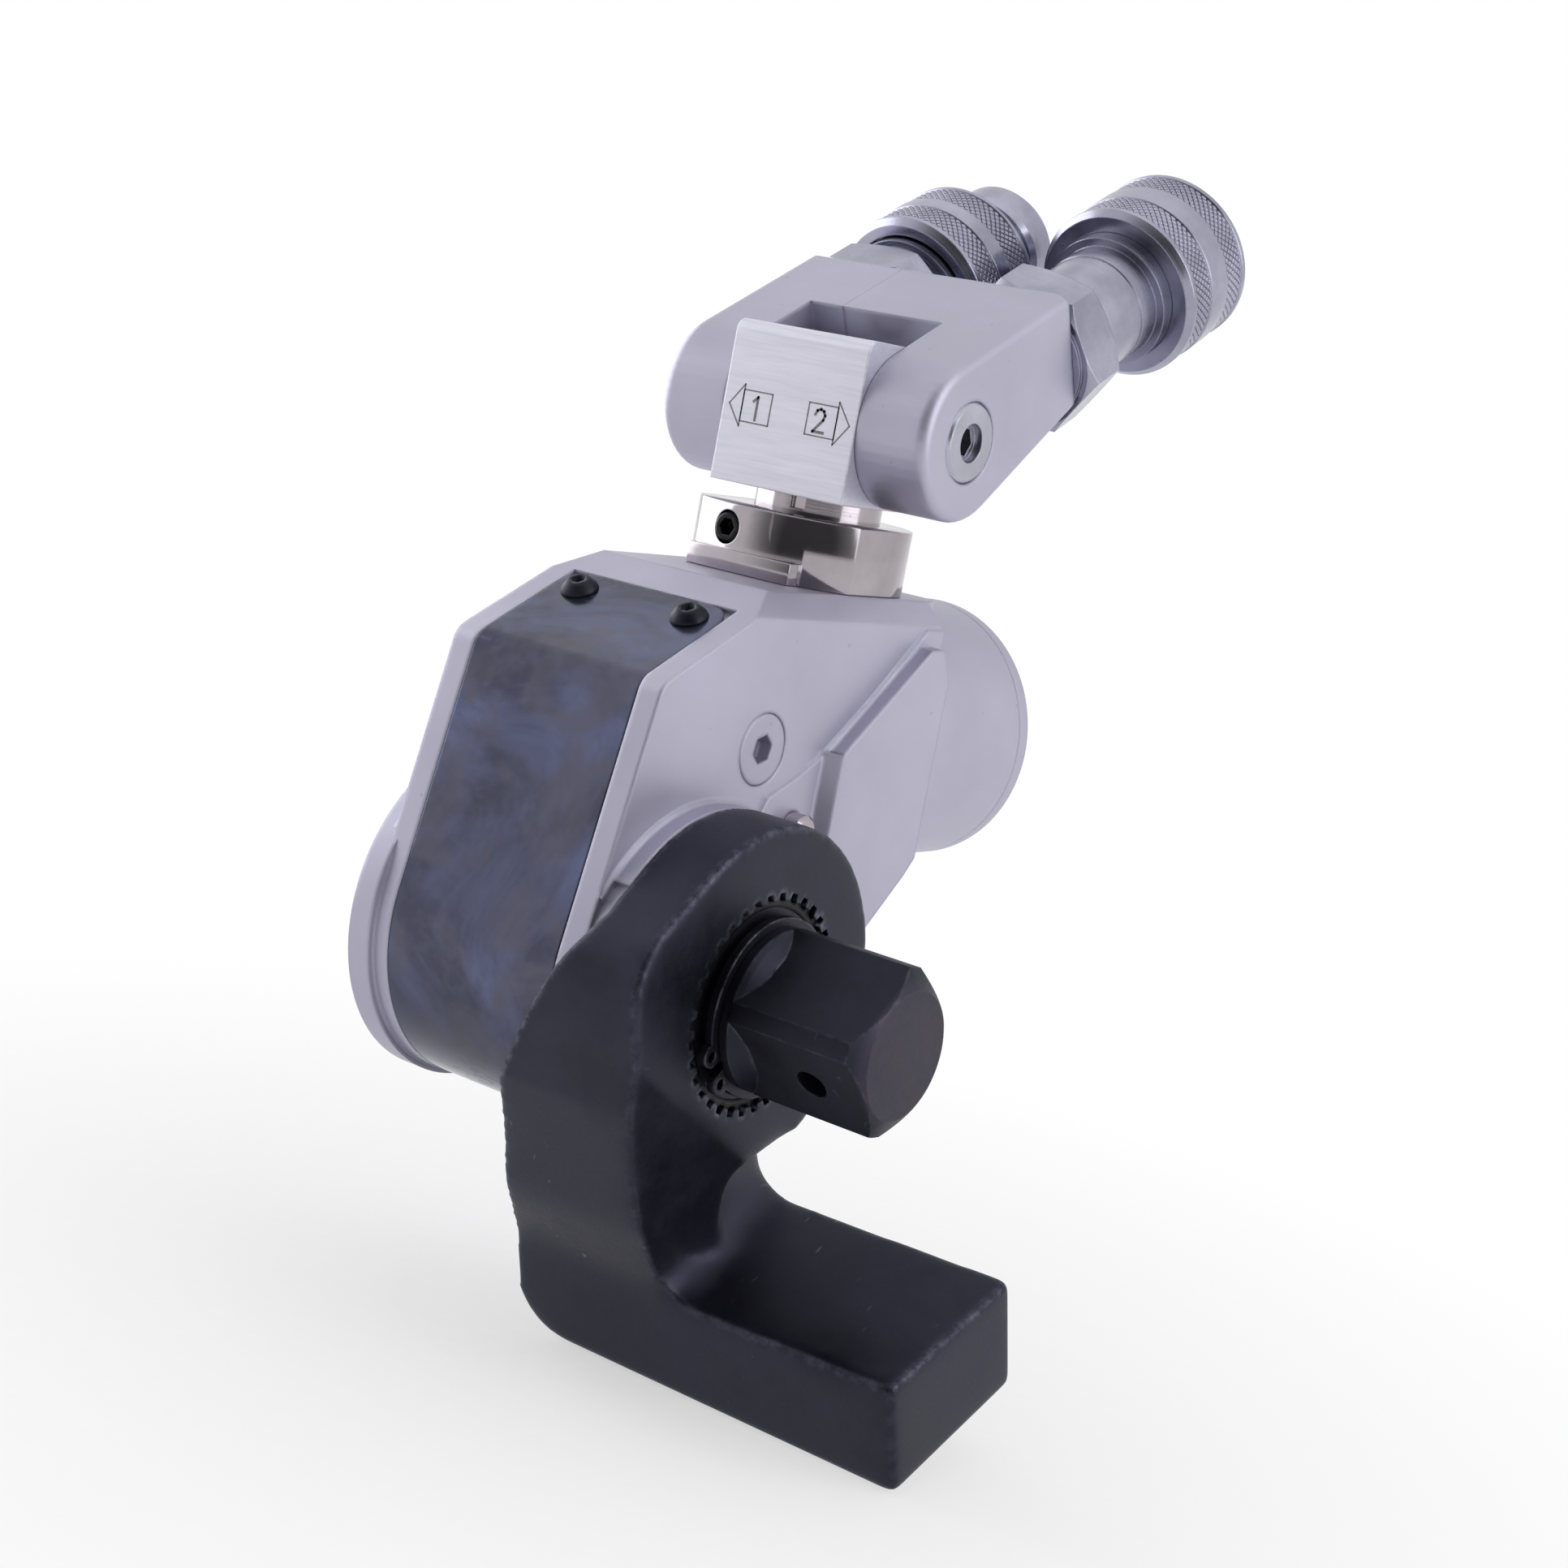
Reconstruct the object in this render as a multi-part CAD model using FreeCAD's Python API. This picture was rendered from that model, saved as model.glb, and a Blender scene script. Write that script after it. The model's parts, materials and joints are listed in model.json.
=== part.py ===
import FreeCAD, Part
import math
import os

# Hydraulic torque wrench, square drive.
# Origin: centre of the end face of the drive square.
# +X runs out of the square, +Y from the nose to the cylinder, +Z up along the swivel post.

# Driving dimensions (mm)
SQUARE = 19.05
SHAFT_R = 12.0
RATCHET_R = SHAFT_R + 2.6
LEVER_HOLE_R = RATCHET_R + 0.7
LEVER_R = LEVER_HOLE_R + 5.3
SPACER_R = LEVER_R - 2.6
NOSE_WALL = 3.5
NOSE_R = LEVER_R + 0.9 + NOSE_WALL
MID_X = -58.3
BODY_HALF = 19.3
BOSS_HALF = BODY_HALF + 3.0
BOSS_R = NOSE_R + 1.0
BOSS_FACE_X = -25.4
CAV_HALF = 11.0
FRONT_TILT = 11.1
FRONT_BEND_R = 3.6
SLOPE_TILT = 27.3
SLOPE_OFF = 46.1
PLATFORM_Z = 56.3
PLATFORM_HALF = 15.4
BODY_REAR = 12.0

# Front cover and its screws
COVER_W = 30.5
COVER_T = 1.0
COVER_END = 281.0
COVER_RISE = 21.8
COVER_LIP = 0.12
SCREW_RISE = 17.0
SCREW_X = 10.3
LOW_SCREW = 266.0

# Cylinder, piston and lever
CYL_R = 21.65
CYL_Z = 32.7
CYL_END_Y = 83.0
CAP_R = 17.0
PISTON_R = 14.0
PISTON_Y0 = 43.0
ROD_R = 6.0
LEVER_ARM = 33.0
LEVER_SWING = 20.0
LEVER_T = 3.2
LEVER_X = CAV_HALF - 0.5
SPACERS = (200.0, 250.0, 300.0)
RATCHET_N = 36

# Drive line
SHAFT_END_R = 10.0
BUSH_R = SHAFT_R + 2.2
SQUARE_TURN = 39.8
HOLE_X = -9.4
HOLE_R = 2.4
CLIP_X = -24.3
CLIP_T = 1.2

# Side plugs and the latch
PLUG_Y = 9.2
PLUG_Z = 33.6
PLUG_R = 5.5
LATCH_R = 2.6
LATCH_Y = 19.5
LATCH_Z = 21.6
LATCH_X0 = -45.5

# Swivel clamp, post and block
POST_Y = 40.0
POST_R = 10.0
CLAMP_R = 15.3
CLAMP_TOP = PLATFORM_Z + 10.3
SPIGOT_R = 12.5
SPIGOT_H = 3.2
SET_X = -61.9
SET_Z = PLATFORM_Z + 6.6
BLOCK_BASE = CLAMP_TOP + 2.77
PIVOT_Z = BLOCK_BASE + 12.63
BLOCK_W = 25.0
BLOCK_HALF = 12.5
PIN_R = 5.0
PIN_HEAD_R = 6.3
PIN_HEAD_T = 2.6

# Yoke and couplers
YOKE_TILT = 28.0
YOKE_W = 50.0
YOKE_HALF_T = 12.4
YOKE_REAR = 29.5
YOKE_BOLTS = [(20.0, 9.4), (17.0, -6.2)]
SEAM_X = -64.5
COUPLER_OFF = 15.6
PORT_DZ = 0.2
COLLAR_R = 14.5
KNURL_ROOT_R = 14.1

# Reaction arm, in its own frame: across is w, along is h
SPLINE_N = 34
SPLINE_ROOT = BUSH_R + 0.95
SPLINE_TIP = SPLINE_ROOT + 1.05
ARM_FRONT_X = -24.6
ARM_BACK_X = -35.3
ARM_TURN = 21.36
RING_R = BOSS_R + 0.2
FOOT_W0 = -19.3
FOOT_W1 = 11.1
FOOT_TOP = 39.7
FOOT_RISE = 0.037
FOOT_BASE = 58.3
FOOT_END_X = 10.0
NECK_REAR_X = -60.0
NECK_FRONT_X = -30.0
NECK_FILLET = 6.0

# Clearances (mm)
RUN = 0.04
SLIDE = 0.05
GAP = 0.35
SEAT = 0.02

BODY_L = MID_X - BODY_HALF
BODY_R = MID_X + BODY_HALF
STROKE = 2.0 * LEVER_ARM * math.sin(math.radians(LEVER_SWING / 2.0))

V = FreeCAD.Vector
AX = V(1, 0, 0)
AY = V(0, 1, 0)
AZ = V(0, 0, 1)


def rod(p, axis, r, length):
    """Cylinder from point p along an axis."""
    return Part.makeCylinder(r, length, V(*p), axis)


def tube(p, axis, r_out, r_in, length):
    """Hollow cylinder from point p along an axis."""
    return rod(p, axis, r_out, length).cut(rod(p, axis, r_in, length))


def cone(p, axis, r1, r2, length):
    """Cone frustum from point p along an axis."""
    return Part.makeCone(r1, r2, length, V(*p), axis)


def box(x0, x1, y0, y1, z0, z1):
    """Axis-aligned block between two corners."""
    return Part.makeBox(x1 - x0, y1 - y0, z1 - z0, V(x0, y0, z0))


def polar(r, deg):
    """Point (y, z) at a radius and an angle about the drive axis."""
    a = math.radians(deg)
    return (r * math.cos(a), r * math.sin(a))


def face_yz(items, x):
    """Flat face in the plane X = x; an item is a corner (y, z) or an arc (y, z, r, from, to)."""
    edges = []
    first = None
    last = None
    for item in items:
        if len(item) == 2:
            start = V(x, item[0], item[1])
            end = start
        else:
            cy, cz, r, a0, a1 = item
            start, mid, end = [V(x, cy + r * math.cos(a), cz + r * math.sin(a))
                               for a in (math.radians(a0), math.radians((a0 + a1) / 2.0), math.radians(a1))]
        if last is None:
            first = start
        elif (start - last).Length > 1e-6:
            edges.append(Part.makeLine(last, start))
        if len(item) == 5:
            edges.append(Part.Arc(start, mid, end).toShape())
        last = end
    if (first - last).Length > 1e-6:
        edges.append(Part.makeLine(last, first))
    return Part.Face(Part.Wire(edges))


def prism_x(points, x0, x1):
    """Prism along X over a (y, z) outline."""
    return face_yz(points, x0).extrude(V(x1 - x0, 0, 0))


def prism_y(points, y0, y1):
    """Prism along Y over an (x, z) outline."""
    vs = [V(x, y0, z) for x, z in points]
    vs.append(vs[0])
    return Part.Face(Part.makePolygon(vs)).extrude(V(0, y1 - y0, 0))


def prism_z(points, z0, z1):
    """Prism along Z over an (x, y) outline."""
    vs = [V(x, y, z0) for x, y in points]
    vs.append(vs[0])
    return Part.Face(Part.makePolygon(vs)).extrude(V(0, 0, z1 - z0))


def arc_points(cy, cz, r, a0, a1, n):
    """Points on an arc, both ends included."""
    out = []
    for i in range(n + 1):
        a = math.radians(a0 + (a1 - a0) * i / n)
        out.append((cy + r * math.cos(a), cz + r * math.sin(a)))
    return out


def revolve_x(profile, y=0.0, z=0.0):
    """Solid of revolution about an X axis through (y, z); profile holds (x, r)."""
    vs = [V(x, y, z + r) for x, r in profile]
    vs.append(vs[0])
    return Part.Face(Part.makePolygon(vs)).revolve(V(0, y, z), AX, 360)


def hexagon(p, axis, flats, length, spin=0.0):
    """Hexagonal prism from point p along an axis."""
    r = flats / math.sqrt(3.0)
    angles = [math.radians(60 * i + spin) for i in range(7)]
    vs = [V(r * math.cos(a), r * math.sin(a), 0) for a in angles]
    s = Part.Face(Part.makePolygon(vs)).extrude(V(0, 0, length))
    s.Placement = FreeCAD.Placement(V(*p), FreeCAD.Rotation(AZ, axis))
    return s


def fuse(parts):
    """One clean solid from several."""
    s = parts[0]
    if len(parts) > 1:
        s = s.fuse(parts[1:])
    return s.removeSplitter()


def turn_x(shape, deg, y=0.0, z=0.0):
    """Copy of a shape turned about an X axis through (y, z)."""
    s = shape.copy()
    s.rotate(V(0, y, z), AX, deg)
    return s


def tilted(shape):
    """Turn a level yoke part to the tilt it rests at."""
    return turn_x(shape, YOKE_TILT, POST_Y, PIVOT_Z)


def mirror_mid(shape):
    """Copy of a shape on the other side of the body's middle plane."""
    return shape.mirror(V(MID_X, 0, 0), AX)


def save(name, shapes):
    """Write one node; a list becomes a compound of separate solids."""
    if isinstance(shapes, list):
        shape = Part.makeCompound(shapes) if len(shapes) > 1 else shapes[0]
    else:
        shape = shapes
    solids = shape.Solids
    if len(solids) == 1:
        shape = solids[0]
    shape.exportStep("parts/%s.step" % name)
    print(name, len(solids), round(shape.Volume, 1), shape.isValid())


# Body

def body_outline(inset=0.0):
    """Closed (y, z) outline of the body, drawn smaller by an inset."""
    r = NOSE_R - inset
    top = PLATFORM_Z - inset
    rear = POST_Y + BODY_REAR - inset
    s = math.radians(SLOPE_TILT)
    cy, cz = bend_centre(FRONT_BEND_R)
    slope_end = (top * math.cos(s) - SLOPE_OFF + inset) / math.sin(s)
    return [
        (cy, cz, FRONT_BEND_R - inset, 180.0 - FRONT_TILT, 90.0 + SLOPE_TILT),
        (slope_end, top),
        (rear, top),
        (rear, 16.3),
        (rear - 2.2, 13.6 + inset / 2.0),
        (0.0, 0.0, r, -45.0, -180.0 - FRONT_TILT),
    ]


def lever_pin(deg):
    """Position of the rod pin when the lever stands deg off upright."""
    a = math.radians(90.0 + deg)
    return (LEVER_ARM * math.cos(a), LEVER_ARM * math.sin(a))


REST_PIN = lever_pin(-LEVER_SWING / 2.0)


def spline_profile(r_root, r_tip, n, x0, x1, tip_part, root_part):
    """Straight-sided spline; the parts are the shares of one pitch that a tooth takes."""
    pts = []
    pitch = 360.0 / n
    for i in range(n):
        a = 90.0 + i * pitch
        pts.append(polar(r_root, a - pitch * root_part / 2.0))
        pts.append(polar(r_tip, a - pitch * tip_part / 2.0))
        pts.append(polar(r_tip, a + pitch * tip_part / 2.0))
        pts.append(polar(r_root, a + pitch * root_part / 2.0))
    return prism_x(pts, x0, x1)


def cover_recess():
    """Shallow recess that takes the wrap-round cover."""
    outer = prism_x(cover_outline(2.0), MID_X - COVER_W / 2 - 0.15, MID_X + COVER_W / 2 + 0.15)
    inner = prism_x(body_outline(COVER_T + 0.03), MID_X - 30, MID_X + 30)
    return outer.cut(inner)


def cover_outline(grow):
    """Region the cover spans: from the top slope round the nose to its underside."""
    r = NOSE_R + grow
    s = math.radians(SLOPE_TILT)
    n = (-math.sin(s), math.cos(s))
    low = cover_slope(COVER_RISE)
    out = (low[0] + n[0] * grow, low[1] + n[1] * grow)
    back = (low[0] - n[0] * 3.0, low[1] - n[1] * 3.0)
    cy, cz = bend_centre(FRONT_BEND_R)
    return [
        out,
        (cy, cz, FRONT_BEND_R + grow, 90.0 + SLOPE_TILT, 180.0 - FRONT_TILT),
        (0.0, 0.0, r, 180.0 - FRONT_TILT, COVER_END + 1.0),
        polar(18.0, COVER_END + 1.0),
        (-8.0, 0.0),
        back,
    ]


def cover_slope(d):
    """Point on the top slope, a distance up from the front bend's corner."""
    s = math.radians(SLOPE_TILT)
    t = math.radians(FRONT_TILT)
    det = -math.cos(t) * math.cos(s) + math.sin(s) * math.sin(t)
    y = (NOSE_R * math.cos(s) - math.sin(t) * SLOPE_OFF) / det
    z = (-math.cos(t) * SLOPE_OFF + math.sin(s) * NOSE_R) / det
    return (y + d * math.cos(s), z + d * math.sin(s))


def cavity():
    """Chamber for the ratchet and the lever, open behind the front cover."""
    x0 = MID_X - CAV_HALF
    x1 = MID_X + CAV_HALF
    r = NOSE_R - NOSE_WALL
    pts = [(0.0, 0.0, r, 34.0, -190.0)]
    pts += [(2.5 - r, 20.0), (-15.0, 38.5), (-12.0, 41.0), (2.0, 43.0), (15.5, 43.0), (15.5, 22.0)]
    room = prism_x(pts, x0, x1)
    mouth = [(-NOSE_R - 5.0, -6.0), (-NOSE_R - 5.0, 36.0), (-12.0, 36.0), (-12.0, -6.0)]
    return room.fuse(prism_x(mouth, x0, x1))


def side_pad():
    """Raised pad on the right flank, drawn from its photographed outline."""
    rear = POST_Y + BODY_REAR
    pts = [(26.4, 33.4), (45.6, 49.6), (49.0, 49.8), (rear, 45.0)]
    pts += [(rear, 16.3), (rear - 2.2, 13.6), (26.4, -9.2)]
    top = MID_X + BOSS_HALF
    ramp = prism_z([(BODY_R - 1.0, 24.2), (BODY_R, 24.2), (top, 26.4), (BODY_R - 1.0, 27.4)], -6.0, 33.2)
    return prism_x(pts, BODY_R - 1.0, top).fuse(ramp)


def side_step():
    """Low step whose upper edge swings round the drive boss and up beside the pad."""
    rear = POST_Y + BODY_REAR
    pts = [(0.0, 0.0, BOSS_R + 0.4, 150.0, 65.5)]
    pts += [(12.3, 26.4), (18.6, 29.3), (24.9, 32.9), (35.3, 41.4), (47.2, 52.3), (rear, 52.3)]
    pts += [(rear, 20.0), (30.0, -6.0), (0.0, -6.0)]
    return prism_x(pts, BODY_R - 1.0, BODY_R + 0.45)


def housing():
    """Body with nose, flat front, clamp platform, drive bosses and cylinder barrel."""
    main = prism_x(body_outline(), BODY_L, BODY_R)
    flank = side_pad().fuse(side_step())
    boss = drive_boss()
    boss_l = rod((MID_X - BOSS_HALF, 0, 0), AX, BOSS_R, BOSS_HALF - BODY_HALF + 1.0)
    y0 = POST_Y + 7.0
    barrel = rod((MID_X, y0, CYL_Z), AY, CYL_R, CYL_END_Y - 4.0 - y0)
    plat = box(MID_X - PLATFORM_HALF, MID_X + PLATFORM_HALF, 12.0, POST_Y + 17.0, 46.0, PLATFORM_Z)
    plat = plat.makeFillet(4.0, [e for e in plat.Edges if vertical_at(e, POST_Y + 17.0)])
    s = fuse([main, flank, mirror_mid(flank), boss, boss_l, barrel, plat])
    s = s.cut(top_bevel(1)).cut(top_bevel(-1))
    s = s.cut(cavity())
    s = s.cut(cover_recess())
    s = s.fuse(spline_profile(SPLINE_ROOT, SPLINE_TIP, SPLINE_N, ARM_BACK_X - 0.4, BOSS_FACE_X, 0.32, 0.56))
    s = s.cut(housing_bores())
    s = s.cut(cover_screw_holes())
    return s.removeSplitter()


def drive_boss():
    """Right boss: low where the arm's neck passes round it, higher elsewhere."""
    x0 = BODY_R - 1.0
    x1 = ARM_BACK_X - 0.3
    core = rod((x0, 0, 0), AX, NOSE_R, x1 - x0)
    rim = prism_x([(0.0, 0.0), (0.0, 0.0, BOSS_R, -38.0, 143.0)], x0, x1)
    return core.fuse(rim)


def vertical_at(edge, y):
    """True for a vertical edge that stands at the given Y."""
    b = edge.BoundBox
    return b.ZLength > 1.0 and b.XLength < 0.01 and abs(b.YMin - y) < 0.01 and b.YLength < 0.01


def top_bevel(side):
    """Wedge that bevels the long top edge beside the clamp platform."""
    x0 = MID_X + side * (BODY_HALF + 0.1)
    x1 = MID_X + side * PLATFORM_HALF
    x2 = MID_X + side * (BODY_HALF + 4.0)
    pts = [(x0, 52.7), (x1, 56.4), (x1, 62.0), (x2, 62.0), (x2, 52.6)]
    return prism_y(pts, -20.0, 60.0)


def housing_bores():
    """Bores for the drive, cylinder, plugs, latch and set screws."""
    through = rod((-90, 0, 0), AX, BUSH_R, 90)
    seat = rod((MID_X - CAV_HALF - 1, 0, 0), AX, 17.6, 2 * CAV_HALF + 2)
    bore = rod((MID_X, 22.0, CYL_Z), AY, PISTON_R, 80)
    mouth = rod((MID_X, CYL_END_Y - 14.0, CYL_Z), AY, CAP_R, 30)
    neck = rod((MID_X, 12.0, CYL_Z), AY, 8.5, 12)
    plug_r = plug_pocket(1)
    plug_l = plug_pocket(-1)
    latch = rod((LATCH_X0, LATCH_Y, LATCH_Z), AX, LATCH_R + SLIDE, 20)
    port = rod((MID_X - 5.0, POST_Y - 3.0, 44.0), AZ, 1.6, 20)
    port2 = rod((MID_X + 5.0, POST_Y - 3.0, 44.0), AZ, 1.6, 20)
    spigot = rod((MID_X, POST_Y, PLATFORM_Z - SPIGOT_H - 0.1), AZ, SPIGOT_R + SEAT, 10)
    return fuse([through, seat, bore, mouth, neck]).fuse([plug_r, plug_l, latch, port, port2, spigot])


def plug_pocket(side):
    """Threaded pocket of a side plug, with its counterbore."""
    x_face = MID_X + side * BODY_HALF
    a = V(-side, 0, 0)
    wide = rod((x_face + side * 2, PLUG_Y, PLUG_Z), a, PLUG_R + SEAT, 4.6)
    thin = rod((x_face, PLUG_Y, PLUG_Z), a, 3.2, 6.4)
    return wide.fuse(thin)


def cover_top_spots():
    """Places and outward directions (x, y, z, ny, nz) of the two upper cover screws."""
    s = math.radians(SLOPE_TILT)
    y, z = cover_slope(SCREW_RISE)
    return [(MID_X + x, y, z, -math.sin(s), math.cos(s)) for x in (-SCREW_X, SCREW_X)]


def cover_low_spots():
    """The same for the two flush screws under the nose."""
    y, z = polar(NOSE_R, LOW_SCREW)
    ny, nz = polar(1.0, LOW_SCREW)
    return [(MID_X + x, y, z, ny, nz) for x in (-SCREW_X, SCREW_X)]


def cover_screw_holes():
    """Tapped holes for the cover screws, the lower ones countersunk."""
    holes = []
    for x, y, z, ny, nz in cover_top_spots():
        holes.append(rod((x, y + ny, z + nz), V(0, -ny, -nz), 1.7, 7.6))
    for spot in cover_low_spots():
        x, y, z, ny, nz = spot
        holes.append(rod((x, y + ny, z + nz), V(0, -ny, -nz), 1.7, 4.3))
        holes.append(countersink(spot, SEAT))
    return fuse(holes)


def countersink(spot, grow):
    """Cone of a flush screw head, drawn larger by a clearance."""
    x, y, z, ny, nz = spot
    a = V(0, -ny, -nz)
    return cone((x, y - 0.1 * ny, z - 0.1 * nz), a, 3.4 + grow, 1.6 + grow, 1.9)


def front_cover():
    """Bent sheet that wraps the top slope, the flat front and the nose."""
    outer = prism_x(cover_outline(2.0), MID_X - COVER_W / 2, MID_X + COVER_W / 2)
    shell = prism_x(body_outline(), MID_X - 30, MID_X + 30)
    core = prism_x(body_outline(COVER_T), MID_X - 40, MID_X + 40)
    s = shell.cut(core).common(outer.common(cover_limits()))
    for x, y, z, ny, nz in cover_top_spots():
        s = s.cut(rod((x, y + 2 * ny, z + 2 * nz), V(0, -ny, -nz), 2.15, 4.0))
    for spot in cover_low_spots():
        x, y, z, ny, nz = spot
        s = s.cut(countersink(spot, SEAT))
        s = s.cut(rod((x, y + ny, z + nz), V(0, -ny, -nz), 3.4, 1.2))
    for side in (-1, 1):
        s = s.cut(cover_corner(side))
    return s


def cover_corner(side):
    """Cutter that rounds one top corner of the cover."""
    r = 4.5
    s = math.radians(SLOPE_TILT)
    n = V(0, -math.sin(s), math.cos(s))
    u = V(0, n.z, -n.y)
    y, z = cover_slope(COVER_RISE - COVER_LIP - r)
    a = V(side * (r + 1), 0, 0)
    mid = V(MID_X + side * (COVER_W / 2.0 - r), y, z) - n * 4.0
    vs = [mid, mid + a, mid + a + u * (r + 1), mid + u * (r + 1), mid]
    block = Part.Face(Part.makePolygon(vs)).extrude(n * 8.0)
    return block.cut(Part.makeCylinder(r, 8.0, mid, n))


def cover_limits():
    """Slab that trims the cover's ends square to its surface."""
    s = math.radians(SLOPE_TILT)
    n = (-math.sin(s), math.cos(s))
    top = cover_slope(COVER_RISE - COVER_LIP)
    pts = [(top[0] - 4 * n[0], top[1] - 4 * n[1]), (top[0] + 4 * n[0], top[1] + 4 * n[1])]
    pts += [(-40.0, 60.0), (-40.0, -40.0), polar(40.0, COVER_END), polar(15.0, COVER_END)]
    pts += [(-6.0, 0.0), (-10.0, 40.0)]
    return prism_x(pts, MID_X - 30, MID_X + 30)


def bend_centre(r):
    """Centre of the upper bend of radius r, tangent to the front and the slope."""
    t = math.radians(FRONT_TILT)
    s = math.radians(SLOPE_TILT)
    n1 = (-math.cos(t), math.sin(t))
    n2 = (-math.sin(s), math.cos(s))
    d1 = NOSE_R - r
    d2 = SLOPE_OFF - r
    det = n1[0] * n2[1] - n1[1] * n2[0]
    y = (d1 * n2[1] - n1[1] * d2) / det
    z = (n1[0] * d2 - d1 * n2[0]) / det
    return (y, z)


def button_screw(x, y, z, ny, nz, head_r, head_h, shank_r, length, socket):
    """Button-head socket screw; its seat is at (x, y, z) and it points outward."""
    n = V(0, ny, nz)
    rim = head_h * 0.35
    head = cone((x, y, z), n, head_r, head_r * 0.93, rim)
    dome = cone((x, y + ny * rim, z + nz * rim), n, head_r * 0.93, head_r * 0.58, head_h - rim)
    shank = rod((x, y, z), V(0, -ny, -nz), shank_r, length)
    s = fuse([head, dome, shank])
    top = (x, y + ny * head_h, z + nz * head_h)
    return s.cut(hexagon(top, V(0, -ny, -nz), socket, head_h * 0.75))


def cover_screws():
    """The four button-head screws of the front cover."""
    out = []
    lift = 0.03
    for x, y, z, ny, nz in cover_top_spots():
        out.append(button_screw(x, y + ny * lift, z + nz * lift, ny, nz, 3.7, 2.2, 1.62, 6.0, 2.5))
    for spot in cover_low_spots():
        x, y, z, ny, nz = spot
        shank = rod((x, y - ny, z - nz), V(0, -ny, -nz), 1.62, 2.1)
        s = fuse([countersink(spot, 0.0), shank])
        out.append(s.cut(hexagon((x, y, z), V(0, -ny, -nz), 2.0, 1.3)))
    return out


def side_plug(side):
    """Countersunk socket plug in a flank; its face is flush with the body."""
    x_face = MID_X + side * BODY_HALF
    a = V(-side, 0, 0)
    head = cone((x_face, PLUG_Y, PLUG_Z), a, PLUG_R - 0.3, PLUG_R - 0.02, 0.3)
    disc = rod((x_face - side * 0.3, PLUG_Y, PLUG_Z), a, PLUG_R - 0.02, 2.2)
    stem = rod((x_face - side * 2.4, PLUG_Y, PLUG_Z), a, 3.15, 3.6)
    s = fuse([head, disc, stem])
    return s.cut(hexagon((x_face + side * 0.01, PLUG_Y, PLUG_Z), a, 4.0, 2.2, 12.0))


def latch_button():
    """Sprung latch that keeps the reaction arm on its spline."""
    x1 = ARM_BACK_X - 0.35
    pin = rod((LATCH_X0 + 2.2, LATCH_Y, LATCH_Z), AX, LATCH_R, x1 - 0.5 - LATCH_X0 - 2.2)
    tip = cone((x1 - 0.5, LATCH_Y, LATCH_Z), AX, LATCH_R, LATCH_R - 0.5, 0.5)
    pocket = rod((LATCH_X0 + 2.2, LATCH_Y, LATCH_Z), AX, 1.6, 3.0)
    return fuse([pin, tip]).cut(pocket)


def coil(p, axis, r, wire, pitch, turns):
    """Round-wire spring with open ends."""
    helix = Part.makeHelix(pitch, pitch * turns, r)
    sec = Part.Wire([Part.makeCircle(wire / 2.0, V(r, 0, 0), AY)])
    s = Part.Wire(helix).makePipeShell([sec], True, True)
    s.Placement = FreeCAD.Placement(V(*p), FreeCAD.Rotation(AZ, axis))
    return s


def latch_spring():
    """Spring behind the latch."""
    return coil((LATCH_X0 + 0.28, LATCH_Y, LATCH_Z), AX, 1.15, 0.5, 0.9, 2.6)


# Drive line


def drive_shaft():
    """Square drive, its round shaft and the ratchet spline."""
    half = SQUARE / 2.0
    x_base = -20.6
    sq = box(x_base - 1.0, 0.0, -half, half, -half, half)
    sq = turn_x(sq, SQUARE_TURN)
    limit = rod((x_base - 1.0, 0, 0), AX, 12.15, -x_base - 1.0 + 0.1)
    nose = cone((-1.9, 0, 0), AX, 12.15, 9.24, 1.9)
    sq = sq.common(limit.fuse(nose))
    flange = revolve_x([(-23.0, 0), (-23.0, 12.0), (-21.6, 12.0), (-20.9, 11.4), (-19.4, 9.8), (-19.4, 0)])
    body = revolve_x([
        (-92.0, 0), (-92.0, 9.2), (-91.2, 10.0), (-86.4, 10.0), (-86.4, 9.2), (-85.1, 9.2), (-85.1, 10.0),
        (MID_X - CAV_HALF - 8.0, 10.0), (MID_X - CAV_HALF - 8.0, SHAFT_R - RUN),
        (MID_X - 6.6, SHAFT_R - RUN), (MID_X - 6.6, 11.0),
        (MID_X + 6.6, 11.0), (MID_X + 6.6, SHAFT_R - RUN),
        (-24.4, SHAFT_R - RUN), (-24.4, 11.1), (-23.0, 11.1), (-23.0, 0)])
    bore = rod((-93.0, 0, 0), AX, 3.2, 72.0)
    hole = retainer_hole()
    teeth = spline_profile(10.98, SHAFT_R - RUN, 18, MID_X - 6.7, MID_X + 6.7, 0.42, 0.6)
    return fuse([sq, flange, body, teeth]).cut(bore).cut(hole)


def retainer_hole():
    """Cross hole through the square for the socket's retaining pin."""
    return turn_x(rod((HOLE_X, -20, 0), AY, HOLE_R, 40), SQUARE_TURN)


def drive_circlip():
    """External circlip with two lug holes, on the shaft outside the spline boss."""
    x0 = CLIP_X
    t = CLIP_T
    ring = tube((x0, 0, 0), AX, 13.3, 11.12, t)
    lug_a = 206.0
    lug_b = 229.0
    mid = (lug_a + lug_b) / 2.0
    gap = prism_x([(0, 0), polar(20, mid - 4.5), polar(20, mid + 4.5)], x0 - 1, x0 + t + 1)
    ring = ring.cut(gap)
    out = [ring]
    for a in (lug_a, lug_b):
        y, z = polar(13.3, a)
        out.append(rod((x0, y, z), AX, 1.75, t))
    s = fuse(out).cut(rod((x0 - 1, 0, 0), AX, 11.12, t + 2)).cut(gap)
    for a in (lug_a, lug_b):
        y, z = polar(13.5, a)
        s = s.cut(rod((x0 - 1, y, z), AX, 0.8, t + 2))
    return s


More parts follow.
